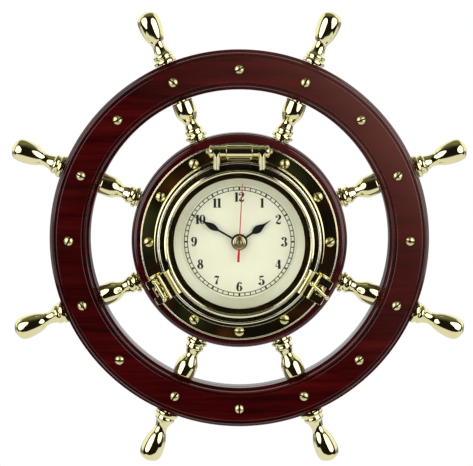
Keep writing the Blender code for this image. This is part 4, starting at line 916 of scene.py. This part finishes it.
barrel_end = [(0, 14.8), (4.1, 14.8), (4.4, 14.5), (4.4, 10.0), (4.65, 9.75), (4.9, 9.5)]
barrel = cross_lathe("hinge_barrel", barrel_end + mirrored_end(barrel_end), 64, HINGE_CENTRE)
weld_on(barrel, soften(block("hinge_block", (-9.0, 63.9, 26.8), (9.0, 74.3, 38.0)), 0.5))
for side, angle in DOG_ANGLES.items():
    knuckle = rod(f"ear_{side}", 3.8, -8.8, 8.8, DOG_CENTRE, edge=0.4)
    foot = block(f"ear_foot_{side}", (-8.8, DOG_CIRCLE - 3.8, 26.8), (8.8, DOG_CIRCLE + 3.8, DOG_HEIGHT))
    weld_on(knuckle, soften(foot, 0.35))
    carve(knuckle, block("ear_gap", (-4.5, DOG_CIRCLE - 9, 28.6), (4.5, DOG_CIRCLE + 9, 40)))
    carve(knuckle, rod("ear_bore", PIVOT_BORE, -12, 12, DOG_CENTRE, sides=24))
    weld_on(porthole_ring, place_piece(knuckle, turn=(0, angle, 0)))
weld_on(porthole_ring, barrel)
carve(porthole_ring, rod("hinge_bore", HINGE_BORE, -20, 20, HINGE_CENTRE, sides=32))
finish_piece(porthole_ring, brass, "wheel", "brass", "porthole_body")
print("porthole body", len(porthole_ring.data.polygons), "faces")

# %% [markdown]
# Two finishes are added on the body. The inside of the collar gets the dark brass, a painted shade in the
# groove, and the beads of flange and collar get the near-white brass, a painted highlight along them.

# %% Groove and beads of the porthole
# Painted shade inside the collar.
finish_faces(porthole_ring, painted_shade_brass, on_ring(52.5, 60.55, 30.0, 37.6))
# Painted highlight on the flange's bead and the collar's bead.
finish_faces(porthole_ring, painted_highlight_brass, on_ring(74.9, 76.7, 27.9, 29.0))
finish_faces(porthole_ring, painted_highlight_brass, on_ring(60.7, 63.0, 37.5, 38.6))
print("the porthole has", len(porthole_ring.data.materials), "finishes in its slots")

# %% [markdown]
# The sash is the ring that opens. It has a bead near its outer edge, a nearly flat inside that runs down to a
# thin lip over the glass, and a pocket behind the lip. Two round-backed arms reach up to the hinge. Each is
# turned, then cut to a flat-sided bar by keeping what it shares with a box, and ends in an eye.

# %% Sash ring and hinge arms
ARM_PLACE, ARM_HALF = 17.35, 2.25      # middle of an arm beside the wheel's axis, and half its width
ARM_FOOT, ARM_HEIGHT = 56.0, 38.85

sash_edge = [(57.3, 36.3), (57.3, 39.4), (57.3, 41.45), (57.2, 41.72), (56.95, 41.85), (56.45, 41.87)]
sash_inside = [(54.5, 41.4), (54.2, 41.05), (53.2, 40.86), (50.15, 40.6), (50.1, 40.55)]
glass_pocket = [(50.1, 39.9), (53.4, 39.9), (53.4, 36.3)]
sash_profile = sash_edge + arc((55.5, 41.9), (0.9, 0.9), 0, 180, 10) + sash_inside + glass_pocket
sash_ring = lathe("sash_ring", sash_profile, PORT_STEPS, ring=True)

lean = Vector((0, -(39.6 - 38.3), HINGE_CENTRE[0] - ARM_FOOT)).normalized()
arm_profile = [(0, -1.0), (2.3, -1.0), (2.3, 1.3), (2.3, 10.6), (2.3, 14.6), (0, 14.6)]
for side in (-1, 1):
    centre_x = ARM_PLACE * side
    left, right = centre_x - ARM_HALF, centre_x + ARM_HALF
    arm = lathe("arm", arm_profile, 48, axis=lean, centre=(centre_x, -ARM_HEIGHT, ARM_FOOT))
    shape_with(arm, block("arm_room", (left, 56.4, ARM_HEIGHT), (right, HINGE_CENTRE[0], 45.0)))
    soften(arm, 0.4, segments=3, angle=50.0)
    weld_on(arm, rod("arm_eye", 4.4, left, right, HINGE_CENTRE, edge=0.45))
    weld_on(sash_ring, arm)
carve(sash_ring, rod("eye_bore", HINGE_BORE, -22, 22, HINGE_CENTRE, sides=32))
print("sash with two arms,", 2 * ARM_PLACE, "mm apart")

# %% [markdown]
# Two forked lugs reach out from the sash over the swing bolts. Each is a block with a raised bar in front, a
# sunk band across it, and a slot that is open outwards. Its side view is drawn out to its width and then cut
# to its plan, the way a pattern maker works from two drawings.

# %% Forked lugs


def bar_of(name, outline, half_width):
    """A bar along x from its outline (z, height off the wall), in millimetres."""
    corners = [Vector((-half_width, -height, z)) * MM for z, height in outline]
    return drawn_out(name, corners, (2 * half_width * MM, 0, 0))


def plate_of(name, outline, low, high):
    """A flat piece from its outline (x, z), between two heights off the wall, in millimetres."""
    corners = [Vector((x, -low, z)) * MM for x, z in outline]
    return drawn_out(name, corners, (0, -(high - low) * MM, 0))


LUG_BACK, LUG_FRONT = 38.85, 42.65
LUG_END = 77.7
BAND_FLOOR = LUG_FRONT - 1.3
SLOT_HALF, SLOT_START = 4.1, 70.6
front_bar = [(55.9, LUG_BACK), (55.9, 41.6)] + arc((59.3, 40.9), (2.05, 1.75), 170, 10, 12)
band = [(61.6, BAND_FLOOR - 0.05), (65.0, BAND_FLOOR - 0.05), (65.12, BAND_FLOOR)]
prongs = arc((66.2, 41.6), (1.05, 1.05), 180, 42, 9) + [(LUG_END - 1.0, 42.3)]
prongs += arc((LUG_END - 0.9, 41.4), (0.9, 0.9), 90, 0, 5) + [(LUG_END, LUG_BACK)]
lug_plan = (arc((-9.0, 56.8), (1.0, 1.0), 270, 180, 5) + arc((-8.2, LUG_END - 1.7), (1.8, 1.8), 180, 90, 8)
            + arc((8.2, LUG_END - 1.7), (1.8, 1.8), 90, 0, 8) + arc((9.0, 56.8), (1.0, 1.0), 0, -90, 5))
for side, angle in DOG_ANGLES.items():
    lug = bar_of(f"lug_{side}", front_bar + band + prongs, 11.0)
    shape_with(lug, plate_of("lug_plan", lug_plan, 35.0, 45.0))
    soften(lug, 0.45, segments=3, angle=60.0)
    slot = block("slot", (-SLOT_HALF, SLOT_START, 30), (SLOT_HALF, 90, 50))
    weld_on(slot, lathe("slot_end", plain_bar(SLOT_HALF, 30, 50), 40, centre=(0, 0, SLOT_START)))
    carve(lug, slot)
    soften(lug, 0.35, segments=3, angle=60.0)
    place_piece(lug, turn=(0, angle, 0))
    weld_on(sash_ring, lug)
print("lugs reach to", LUG_END, "mm from the wheel's centre")

# %% [markdown]
# The sash is mirror polished as well, except in places: the front bars of the lugs are brushed, the hinge
# arms are rough with a painted pale sheen, the bead has a painted highlight, and a narrow band low on the
# outer wall has painted shade.

# %% Finishes of the sash


def on_front_bar(x, z, away):
    """The raised front bar of each lug."""
    for angle in DOG_ANGLES.values():
        out = x * sin(radians(angle)) + z * cos(radians(angle))
        across = x * cos(radians(angle)) - z * sin(radians(angle))
        if 57.35 < out < 61.5 and abs(across) < 10.1 and away > 41.0:
            return True
    return False


def on_hinge_arm(x, z, away):
    """The two arms, between the sash ring and their eyes."""
    return 15.0 < abs(x) < 19.7 and 57.0 < z < 67.2 and away > 39.2


# Painted highlight on the bead.
finish_faces(sash_ring, painted_highlight_brass, on_ring(54.5, 56.5, 41.8, 43.0))
finish_faces(sash_ring, satin_brass, on_front_bar)
# Painted pale sheen on the hinge arms.
finish_faces(sash_ring, painted_sheen_cast_brass, on_hinge_arm)
finish_piece(sash_ring, brass, "sash", "brass", "sash")
# Painted shade on the outer wall below the top of the collar, where the collar shades it.
finish_faces(sash_ring, painted_shade_brass, on_ring(57.2, 57.4, 30.0, 39.5))
print("sash", len(sash_ring.data.polygons), "faces")

# %% [markdown]
# The glass is a flat disc with ground edges, held from behind by a split ring of brass.

# %% Glass and its ring
pane_profile = [(0, 39.6), (52.9, 39.6), (53.1, 39.4), (53.1, 38.1), (52.9, 37.9), (0, 37.9)]
pane = lathe("glass_pane", pane_profile, 128)
finish_piece(pane, pane_glass, "sash", "glass", "glass")
keeper = lathe("glass_keeper", arc((51.75, 37.1), (1.3, 0.5), 0, 330, 11), 128, ring=True)
carve(keeper, block("split", (-0.4, -60, 30), (0.4, -40, 45)))
finish_piece(keeper, brass, "sash", "brass", "glass_ring")
print("glass", round(39.6 - 37.9, 1), "mm thick")

# %% [markdown]
# One long pin runs through both arms and the barrel. It ends in a round nut and a small ball on each side,
# all turned with the pin here. The swing bolts turn on shorter pins with button heads.

# %% Hinge pin, pivot pins
nut_and_ball = (
    [(2.0, 19.9), (4.1, 19.9), (4.4, 20.2)] + arc((3.0, 21.6), (1.6, 1.4), -30, 60, 5)
    + [(3.2, 23.1), (1.9, 23.3), (1.5, 23.6)] + arc((0, 24.35), (1.75, 1.1), -20, 90, 6)
)
hinge_rod = cross_lathe("hinge_rod", mirrored_end(nut_and_ball) + nut_and_ball, 40, HINGE_CENTRE)
finish_piece(hinge_rod, brass, "wheel", "brass", "hinge_pin")

button = [(1.6, 9.1), (3.7, 9.1), (4.0, 9.35), (4.0, 9.9), (3.7, 10.35), (2.6, 10.65), (0, 10.7)]
for side, angle in DOG_ANGLES.items():
    pivot = cross_lathe(f"pivot_pin_{side}", mirrored_end(button) + button, 40, DOG_CENTRE)
    place_piece(pivot, turn=(0, angle, 0))
    finish_piece(pivot, brass, "wheel", "brass", f"dog_pin_{side}")
print("hinge pin", round(hinge_rod.dimensions.x / MM, 1), "mm long")

# %% [markdown]
# A swing bolt is an eye with a threaded rod standing on it. The thread is cut as fine rings, which look the
# same as a real one at this size. The rod ends inside the blind bore of its nut.

# %% Swing bolts
BOLT_TOP = 46.0
THREAD_START, THREAD_PITCH, THREAD_RINGS = 37.8, 0.65, 12
thread = []
for index in range(THREAD_RINGS):
    foot = THREAD_START + THREAD_PITCH * index
    thread += [(2.0, foot), (1.72, foot + 0.32)]
bolt_end = [(1.7, BOLT_TOP - 0.1), (1.4, BOLT_TOP), (0, BOLT_TOP)]
stem_profile = [(0, DOG_HEIGHT), (2.0, DOG_HEIGHT)] + thread + bolt_end


def swing_bolt(side, angle):
    """An eye with a threaded rod, standing between the ears of its side."""
    stem = lathe(f"swing_bolt_{side}", stem_profile, 28, centre=(0, 0, DOG_CIRCLE))
    weld_on(stem, rod("bolt_eye", 3.6, -4.2, 4.2, DOG_CENTRE, edge=0.4))
    carve(stem, rod("bolt_bore", PIVOT_BORE, -9, 9, DOG_CENTRE, sides=24))
    place_piece(stem, turn=(0, angle, 0))
    finish_piece(stem, brass, f"dog_bolt_{side}", "brass", f"dog_bolt_{side}")


print("a swing bolt is", BOLT_TOP - DOG_HEIGHT, "mm long from its pivot")

# %% [markdown]
# A nut with a T-shaped handle clamps each lug. The bar is slim, with a small ball at each end, and lies right
# over the bore of its nut. The left T stands crosswise and the right one a little off its slot, as they were
# left.

# %% T-bar nuts, and both bolts with theirs
TBAR_HEIGHT = 47.51
TBAR_TURNS = {"right": 13.0, "left": 90.0}
nut_profile = [
    (2.3, 44.0), (2.9, 44.0), (3.1, 44.2), (3.1, 46.8), (2.9, 47.2), (2.4, 47.35), (0, 47.35), (0, 46.3),
    (2.3, 46.3),
]
bar_end = [
    (0, -9.6), (0.95, -9.4), (1.55, -8.85), (1.75, -8.0), (1.55, -7.2), (1.15, -6.75), (1.08, -6.1),
    (1.15, -3.0),
]
bar_profile = flowing(bar_end, 3) + flowing(mirrored_end(bar_end), 3)


def tbar_nut(side, angle):
    """A nut with its T-bar, over the bolt of its side."""
    nut = lathe(f"tbar_nut_{side}", nut_profile, 40, centre=(0, 0, DOG_CIRCLE), ring=True)
    weld_on(nut, lathe("tbar", bar_profile, 32, axis=(0, 0, 1), centre=(0, -TBAR_HEIGHT, DOG_CIRCLE)))
    place_piece(nut, shift=(0, 0, -DOG_CIRCLE))
    place_piece(nut, turn=(0, TBAR_TURNS[side], 0))
    place_piece(nut, shift=(0, 0, DOG_CIRCLE))
    place_piece(nut, turn=(0, angle, 0))
    finish_piece(nut, brass, f"dog_nut_{side}", "brass", f"dog_nut_{side}")


for side, angle in DOG_ANGLES.items():
    swing_bolt(side, angle)
    tbar_nut(side, angle)
print("T-bars turned", TBAR_TURNS, "degrees off their slots")

# %% [markdown]
# Behind the glass lies the insert: an ivory disc, a conical ring round it that catches the light, and the
# black nut that holds the movement to the dial. The cone is spun metal in a pale champagne tone with a few
# fine turned steps.

# %% Dial, bezel and centre nut
dial_disc = lathe("dial_disc", [(4.3, 26.1), (4.3, 25.3), (46.5, 25.3), (46.5, 26.1)], 128, ring=True)
finish_piece(dial_disc, ivory, "wheel", "dial_cream", "dial")
cone = [
    (44.1, 26.5), (44.1, 26.85), (44.35, 27.1), (46.2, 28.5), (46.5, 28.62), (46.9, 29.0), (48.6, 30.3),
    (48.9, 30.42), (49.2, 30.75), (50.2, 31.5),
]
cone_back = [(52.2, 25.3), (46.8, 25.3), (46.8, 26.4)]
bezel_profile = cone + arc((51.2, 31.2), (1.0, 0.8), 150, 0, 7) + cone_back
bezel_cone = lathe("bezel_cone", bezel_profile, PORT_STEPS, ring=True)
finish_piece(bezel_cone, champagne, "wheel", "brass", "insert_bezel")
nut_ring = [(4.3, 26.4), (6.0, 26.4), (6.3, 26.6), (6.3, 27.5), (6.0, 27.8), (4.3, 27.8)]
centre_nut = lathe("centre_nut", nut_ring, 48, ring=True)
finish_piece(centre_nut, black_enamel, "wheel", "black_enamel", "movement_nut")
print("dial", round(dial_disc.dimensions.x / MM, 1), "mm across")

# %% [markdown]
# The printing is a railway minute track and twelve upright numerals. The track's rings and ticks are flat
# pieces that stand above the dial by no more than ink would. They are joined into one piece, like one pass of
# the printing pad.

# %% Minute track
PRINT_HEIGHT = 26.14     # top of the ink, just above the dial
PRINT_DEPTH = 0.03
TICK_FOOT, TICK_TOP = PRINT_HEIGHT - PRINT_DEPTH * 0.9, PRINT_HEIGHT - 0.004


def flat_ring(name, inside, outside):
    """A thin printed ring."""
    low = PRINT_HEIGHT - PRINT_DEPTH
    profile = [(inside, PRINT_HEIGHT), (inside, low), (outside, low), (outside, PRINT_HEIGHT)]
    return lathe(name, profile, 180, ring=True)


track = flat_ring("minute_track", 39.72, 40.28)
track_outside = flat_ring("track_outside", 42.22, 42.78)
ticks = []
for minute in range(60):
    half = (1.3 if minute % 5 == 0 else 0.75) / 2
    tick = block(f"tick_{minute}", (-half, 40.1, TICK_FOOT), (half, 42.4, TICK_TOP))
    ticks.append(place_piece(tick, turn=(0, 6.0 * minute, 0)))
bpy.ops.object.select_all(action="DESELECT")
for piece in ticks + [track_outside, track]:
    piece.select_set(True)
bpy.context.view_layer.objects.active = track
bpy.ops.object.join()
finish_piece(track, print_ink, "wheel", "black_enamel")
print("minute track with", len(ticks), "ticks")

# %% [markdown]
# The numerals have thick stems and thin joins, as if written with a pen whose width changes along the stroke.
# They are drawn in a box one unit high. A stroke is a list of points (x, y, half width). A ball at the end of
# a stroke is a very short stroke whose width follows a circle, and a serif is a short level stroke.

# %% Strokes of the figures


def ball(x, y, radius):
    """A round dot as a stroke."""
    turns = [radians(turn) for turn in range(-90, 91, 30)]
    return [(x, y + radius * sin(turn), radius * max(cos(turn), 0.03)) for turn in turns]


def bowl(x, y, wide, high, start, end, thick, thin=0.022, steps=16):
    """Part of an oval that is thick at its sides and thin at its top and bottom."""
    points = []
    for index in range(steps + 1):
        turn = radians(start + (end - start) * index / steps)
        weight = abs(cos(turn)) ** 1.6
        points.append((x + wide * cos(turn), y + high * sin(turn), thin + (thick - thin) * weight))
    return points


def serif(x, y, reach):
    """A short level stroke."""
    return [(x - reach, y, 0.020), (x + reach, y, 0.020)]


FIGURES = {
    "1": (0.42, [[(0.24, 0.02, 0.085), (0.24, 0.98, 0.085)], serif(0.24, 0.02, 0.19),
                 [(0.24, 0.965, 0.030), (0.13, 0.90, 0.024), (0.04, 0.875, 0.018)]]),
    "2": (0.60, [ball(0.13, 0.745, 0.085), [(0.075, 0.76, 0.03), (0.10, 0.88, 0.022), (0.20, 0.965, 0.022),
                 (0.31, 0.965, 0.035), (0.42, 0.88, 0.080), (0.455, 0.74, 0.095), (0.41, 0.60, 0.075),
                 (0.28, 0.41, 0.045), (0.13, 0.22, 0.030), (0.06, 0.08, 0.024)],
                 [(0.05, 0.075, 0.020), (0.14, 0.13, 0.070), (0.27, 0.085, 0.085), (0.40, 0.065, 0.072),
                  (0.49, 0.12, 0.038), (0.53, 0.27, 0.016)]]),
    "3": (0.58, [ball(0.14, 0.78, 0.080), ball(0.13, 0.20, 0.085),
                 bowl(0.25, 0.755, 0.175, 0.215, 165, -80, 0.085),
                 bowl(0.24, 0.265, 0.225, 0.245, 85, -165, 0.095)]),
    "4": (0.62, [[(0.40, 0.02, 0.085), (0.40, 0.96, 0.085)], serif(0.40, 0.02, 0.17),
                 [(0.37, 0.965, 0.020), (0.20, 0.62, 0.020), (0.03, 0.275, 0.020)],
                 [(0.02, 0.26, 0.026), (0.60, 0.26, 0.026)]]),
    "5": (0.58, [[(0.10, 0.90, 0.062), (0.25, 0.905, 0.070), (0.40, 0.93, 0.052), (0.49, 0.99, 0.015)],
                 [(0.09, 0.95, 0.020), (0.09, 0.50, 0.018)],
                 bowl(0.245, 0.31, 0.215, 0.285, 125, -165, 0.095), ball(0.12, 0.20, 0.085)]),
    "6": (0.60, [bowl(0.30, 0.285, 0.185, 0.27, 0, 360, 0.088), ball(0.45, 0.82, 0.075),
                 [(0.49, 0.90, 0.022), (0.40, 0.975, 0.020), (0.29, 0.93, 0.040), (0.18, 0.76, 0.078),
                  (0.125, 0.52, 0.092), (0.118, 0.30, 0.088)]]),
    "7": (0.58, [[(0.07, 0.72, 0.016), (0.09, 0.83, 0.030), (0.16, 0.915, 0.068), (0.27, 0.905, 0.082),
                  (0.40, 0.885, 0.060), (0.50, 0.955, 0.020)],
                 [(0.52, 0.985, 0.018), (0.44, 0.80, 0.022), (0.335, 0.55, 0.040), (0.27, 0.32, 0.075),
                  (0.245, 0.09, 0.100)]]),
    "8": (0.60, [bowl(0.30, 0.755, 0.150, 0.215, 0, 360, 0.075),
                 bowl(0.30, 0.270, 0.190, 0.250, 0, 360, 0.090),
                 [(0.18, 0.62, 0.050), (0.30, 0.52, 0.075), (0.42, 0.42, 0.055)]]),
    "9": (0.60, [bowl(0.28, 0.715, 0.185, 0.27, 0, 360, 0.088), ball(0.13, 0.18, 0.075),
                 [(0.09, 0.10, 0.022), (0.18, 0.025, 0.020), (0.29, 0.07, 0.040), (0.40, 0.24, 0.078),
                  (0.455, 0.48, 0.092), (0.462, 0.70, 0.088)]]),
    "0": (0.60, [bowl(0.30, 0.50, 0.195, 0.475, 0, 360, 0.090, thin=0.020, steps=28)]),
}
print("figures drawn:", ", ".join(sorted(FIGURES)))

# %% [markdown]
# A stroke becomes a curve whose points have a radius, so it has the pen's width. The curves of a numeral are
# turned into a mesh, their strokes are united, and it is pressed nearly flat, so that it lies on the dial
# like ink.

# %% Numerals
NUMERAL_HEIGHT = 7.3
NUMERAL_CIRCLE = 34.8
SPREAD = 1.08            # figures are set a little wider than drawn
PEN_WEIGHT = 1.55
THINNEST = 0.004


def write(name, text, centre_x, centre_z):
    """A numeral in ink, upright on the dial, centred on a place in millimetres."""
    pen = bpy.data.curves.new(name, "CURVE")
    pen.dimensions = "3D"
    pen.bevel_depth = 1.0
    pen.bevel_resolution = 1
    pen.use_fill_caps = True
    start = -sum(FIGURES[figure][0] for figure in text) / 2
    for figure in text:
        width, strokes = FIGURES[figure]
        for stroke in strokes:
            line = flowing(stroke, 3) if len(stroke) > 2 else stroke
            if len(stroke) > 2 and stroke[0][:2] == stroke[-1][:2]:
                line = line[:-1]
            spline = pen.splines.new("POLY")
            spline.points.add(len(line) - 1)
            spline.use_cyclic_u = abs(stroke[0][0] - stroke[-1][0]) + abs(stroke[0][1] - stroke[-1][1]) < 1e-6
            for point, (x, y, half_width) in zip(spline.points, line):
                point.co = ((start + x) * SPREAD, 0.0, y - 0.5, 1.0)
                point.radius = max(half_width, THINNEST) * PEN_WEIGHT
        start += width
    piece = bpy.data.objects.new(name, pen)
    bpy.context.scene.collection.objects.link(piece)
    work_on(piece)
    bpy.ops.object.convert(target="MESH")
    piece = bpy.context.object
    bpy.ops.object.mode_set(mode="EDIT")
    bpy.ops.mesh.select_all(action="SELECT")
    bpy.ops.mesh.remove_doubles(threshold=0.0002)
    bpy.ops.mesh.normals_make_consistent(inside=False)
    bpy.ops.mesh.intersect_boolean(operation="UNION", use_self=True, solver="EXACT")
    bpy.ops.object.mode_set(mode="OBJECT")
    size = NUMERAL_HEIGHT * MM
    piece.scale = (size, PRINT_DEPTH * MM * 4, size)
    piece.location = (centre_x * MM, -PRINT_HEIGHT * MM, centre_z * MM)
    bpy.ops.object.transform_apply(location=True, rotation=True, scale=True)
    return piece


for hour in range(1, 13):
    turn = radians(30 * hour)
    figure = write(f"numeral_{hour}", str(hour), NUMERAL_CIRCLE * sin(turn), NUMERAL_CIRCLE * cos(turn))
    finish_piece(figure, print_ink, "wheel", "black_enamel", smooth=60.0)
print("twelve numerals,", NUMERAL_HEIGHT, "mm high")

# %% [markdown]
# The hands show ten to two. Hour and minute hand are pressed from thin sheet with a spade on a slim stem, and
# the second hand is a red needle under a turned brass cap. The right half of an outline is drawn and
# mirrored, and the plate is made as the lug's plan was: a chain of points, filled, and given its thickness.

# %% Hour and minute hand
SHEET = 0.5              # thickness of the hands


def sheet_hand(name, half, back, turn, hub, bore=1.4):
    """A flat hand from the right half (x, z) of its outline, tail to tip, turned to its clock angle."""
    outline = half + [(-x, z) for x, z in reversed(half) if x > 0]
    piece = plate_of(name, outline, back, back + SHEET)
    weld_on(piece, lathe("hand_hub", plain_bar(hub, back, back + SHEET), 32))
    carve(piece, lathe("hand_bore", plain_bar(bore, 20, 40), 24))
    return place_piece(piece, turn=(0, turn, 0))


def spade(length, stem, wide, place, rise, tail):
    """Right half of a spade hand: tail, stem, the swell at its place, and the long point."""
    swell = flowing([
        (stem, place - 0.95 * rise), (stem + 0.22 * (wide - stem), place - 0.80 * rise),
        (stem + 0.72 * (wide - stem), place - 0.50 * rise), (wide, place), (0.86 * wide, place + 0.36 * rise),
        (0.52 * wide, place + 0.78 * rise), (0.27 * wide, place + 1.15 * rise),
        (0.16 * wide, place + 1.6 * rise),
    ], 3)
    stalk = [(0.0, -tail), (stem, -tail), (stem, place - 1.6 * rise)]
    return stalk + swell + [(0.14, length - 0.2), (0.0, length)]


hour_hand = sheet_hand("hour_spade_hand", spade(29.7, 0.75, 3.0, 17.3, 5.6, 2.0), 28.1, 55.0, hub=3.4)
finish_piece(hour_hand, black_enamel, "hour_hand", "black_enamel", "hour_hand")
minute_hand = sheet_hand("minute_spade_hand", spade(43.2, 0.75, 2.5, 24.3, 6.0, 2.0), 29.2, 300.0, hub=3.0)
finish_piece(minute_hand, black_enamel, "minute_hand", "black_enamel", "minute_hand")
print("hour and minute hand set to ten to two")

# %% [markdown]
# The red needle swells into a long tail that balances it. The cap over the hands is a shallow turned disc
# with two fine rings, and it turns with the second hand.

# %% Second hand and cap
needle_half = [
    (0.0, -15.4), (0.75, -15.3), (0.95, -15.0), (0.88, -9.0), (0.65, -4.0), (0.45, 0.0), (0.40, 20.0),
    (0.28, 45.2), (0.0, 45.4),
]
needle = sheet_hand("second_needle", needle_half, 30.3, 3.0, hub=2.6, bore=1.2)
finish_piece(needle, red_enamel, "second_hand", "red_enamel", "second_hand")
cap_profile = [
    (0, 32.8), (1.5, 32.78), (1.7, 32.66), (1.9, 32.74), (3.3, 32.62), (3.5, 32.5), (3.7, 32.55), (4.5, 32.4),
    (4.85, 32.2), (5.0, 31.9), (5.0, 30.95), (4.8, 30.8), (0, 30.8),
]
cap = lathe("hand_cap", cap_profile, 64)
finish_piece(cap, cap_brass, "second_hand", "brass")
print("second hand", round(45.4 + 15.4, 1), "mm long over all")

# %% [markdown]
# At the back a bowed steel strip bridges a recess in the hub, so that the clock hangs on a nail. The strip,
# its screws and the movement with its battery keep the measured model's form, because none of them shows from
# the front. They get finishes of their own.

# %% Finishes for the measured pieces that stay
REMAINING = {
    "movement_case": black_plastic, "movement_cover": black_plastic, "battery": battery_jacket,
    "setting_knob": black_plastic, "hanger_plate": steel, "hanger_screw_1": steel, "hanger_screw_2": steel,
}
for node, look in REMAINING.items():
    materials = bpy.data.objects[node].data.materials
    materials.clear()
    materials.append(look)
print("kept from the measured model:", ", ".join(REMAINING))

# %% [markdown]
# Last, the size of the finished clock is printed, with its count of faces.

# %% Size
finished_box = [list(corner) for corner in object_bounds()]
faces = sum(len(piece.data.polygons) for piece in bpy.data.objects if piece.type == "MESH")
measures = [round(high - low, 4) for low, high in zip(*finished_box)]
print("finished clock measures", measures, "m;", faces, "faces")
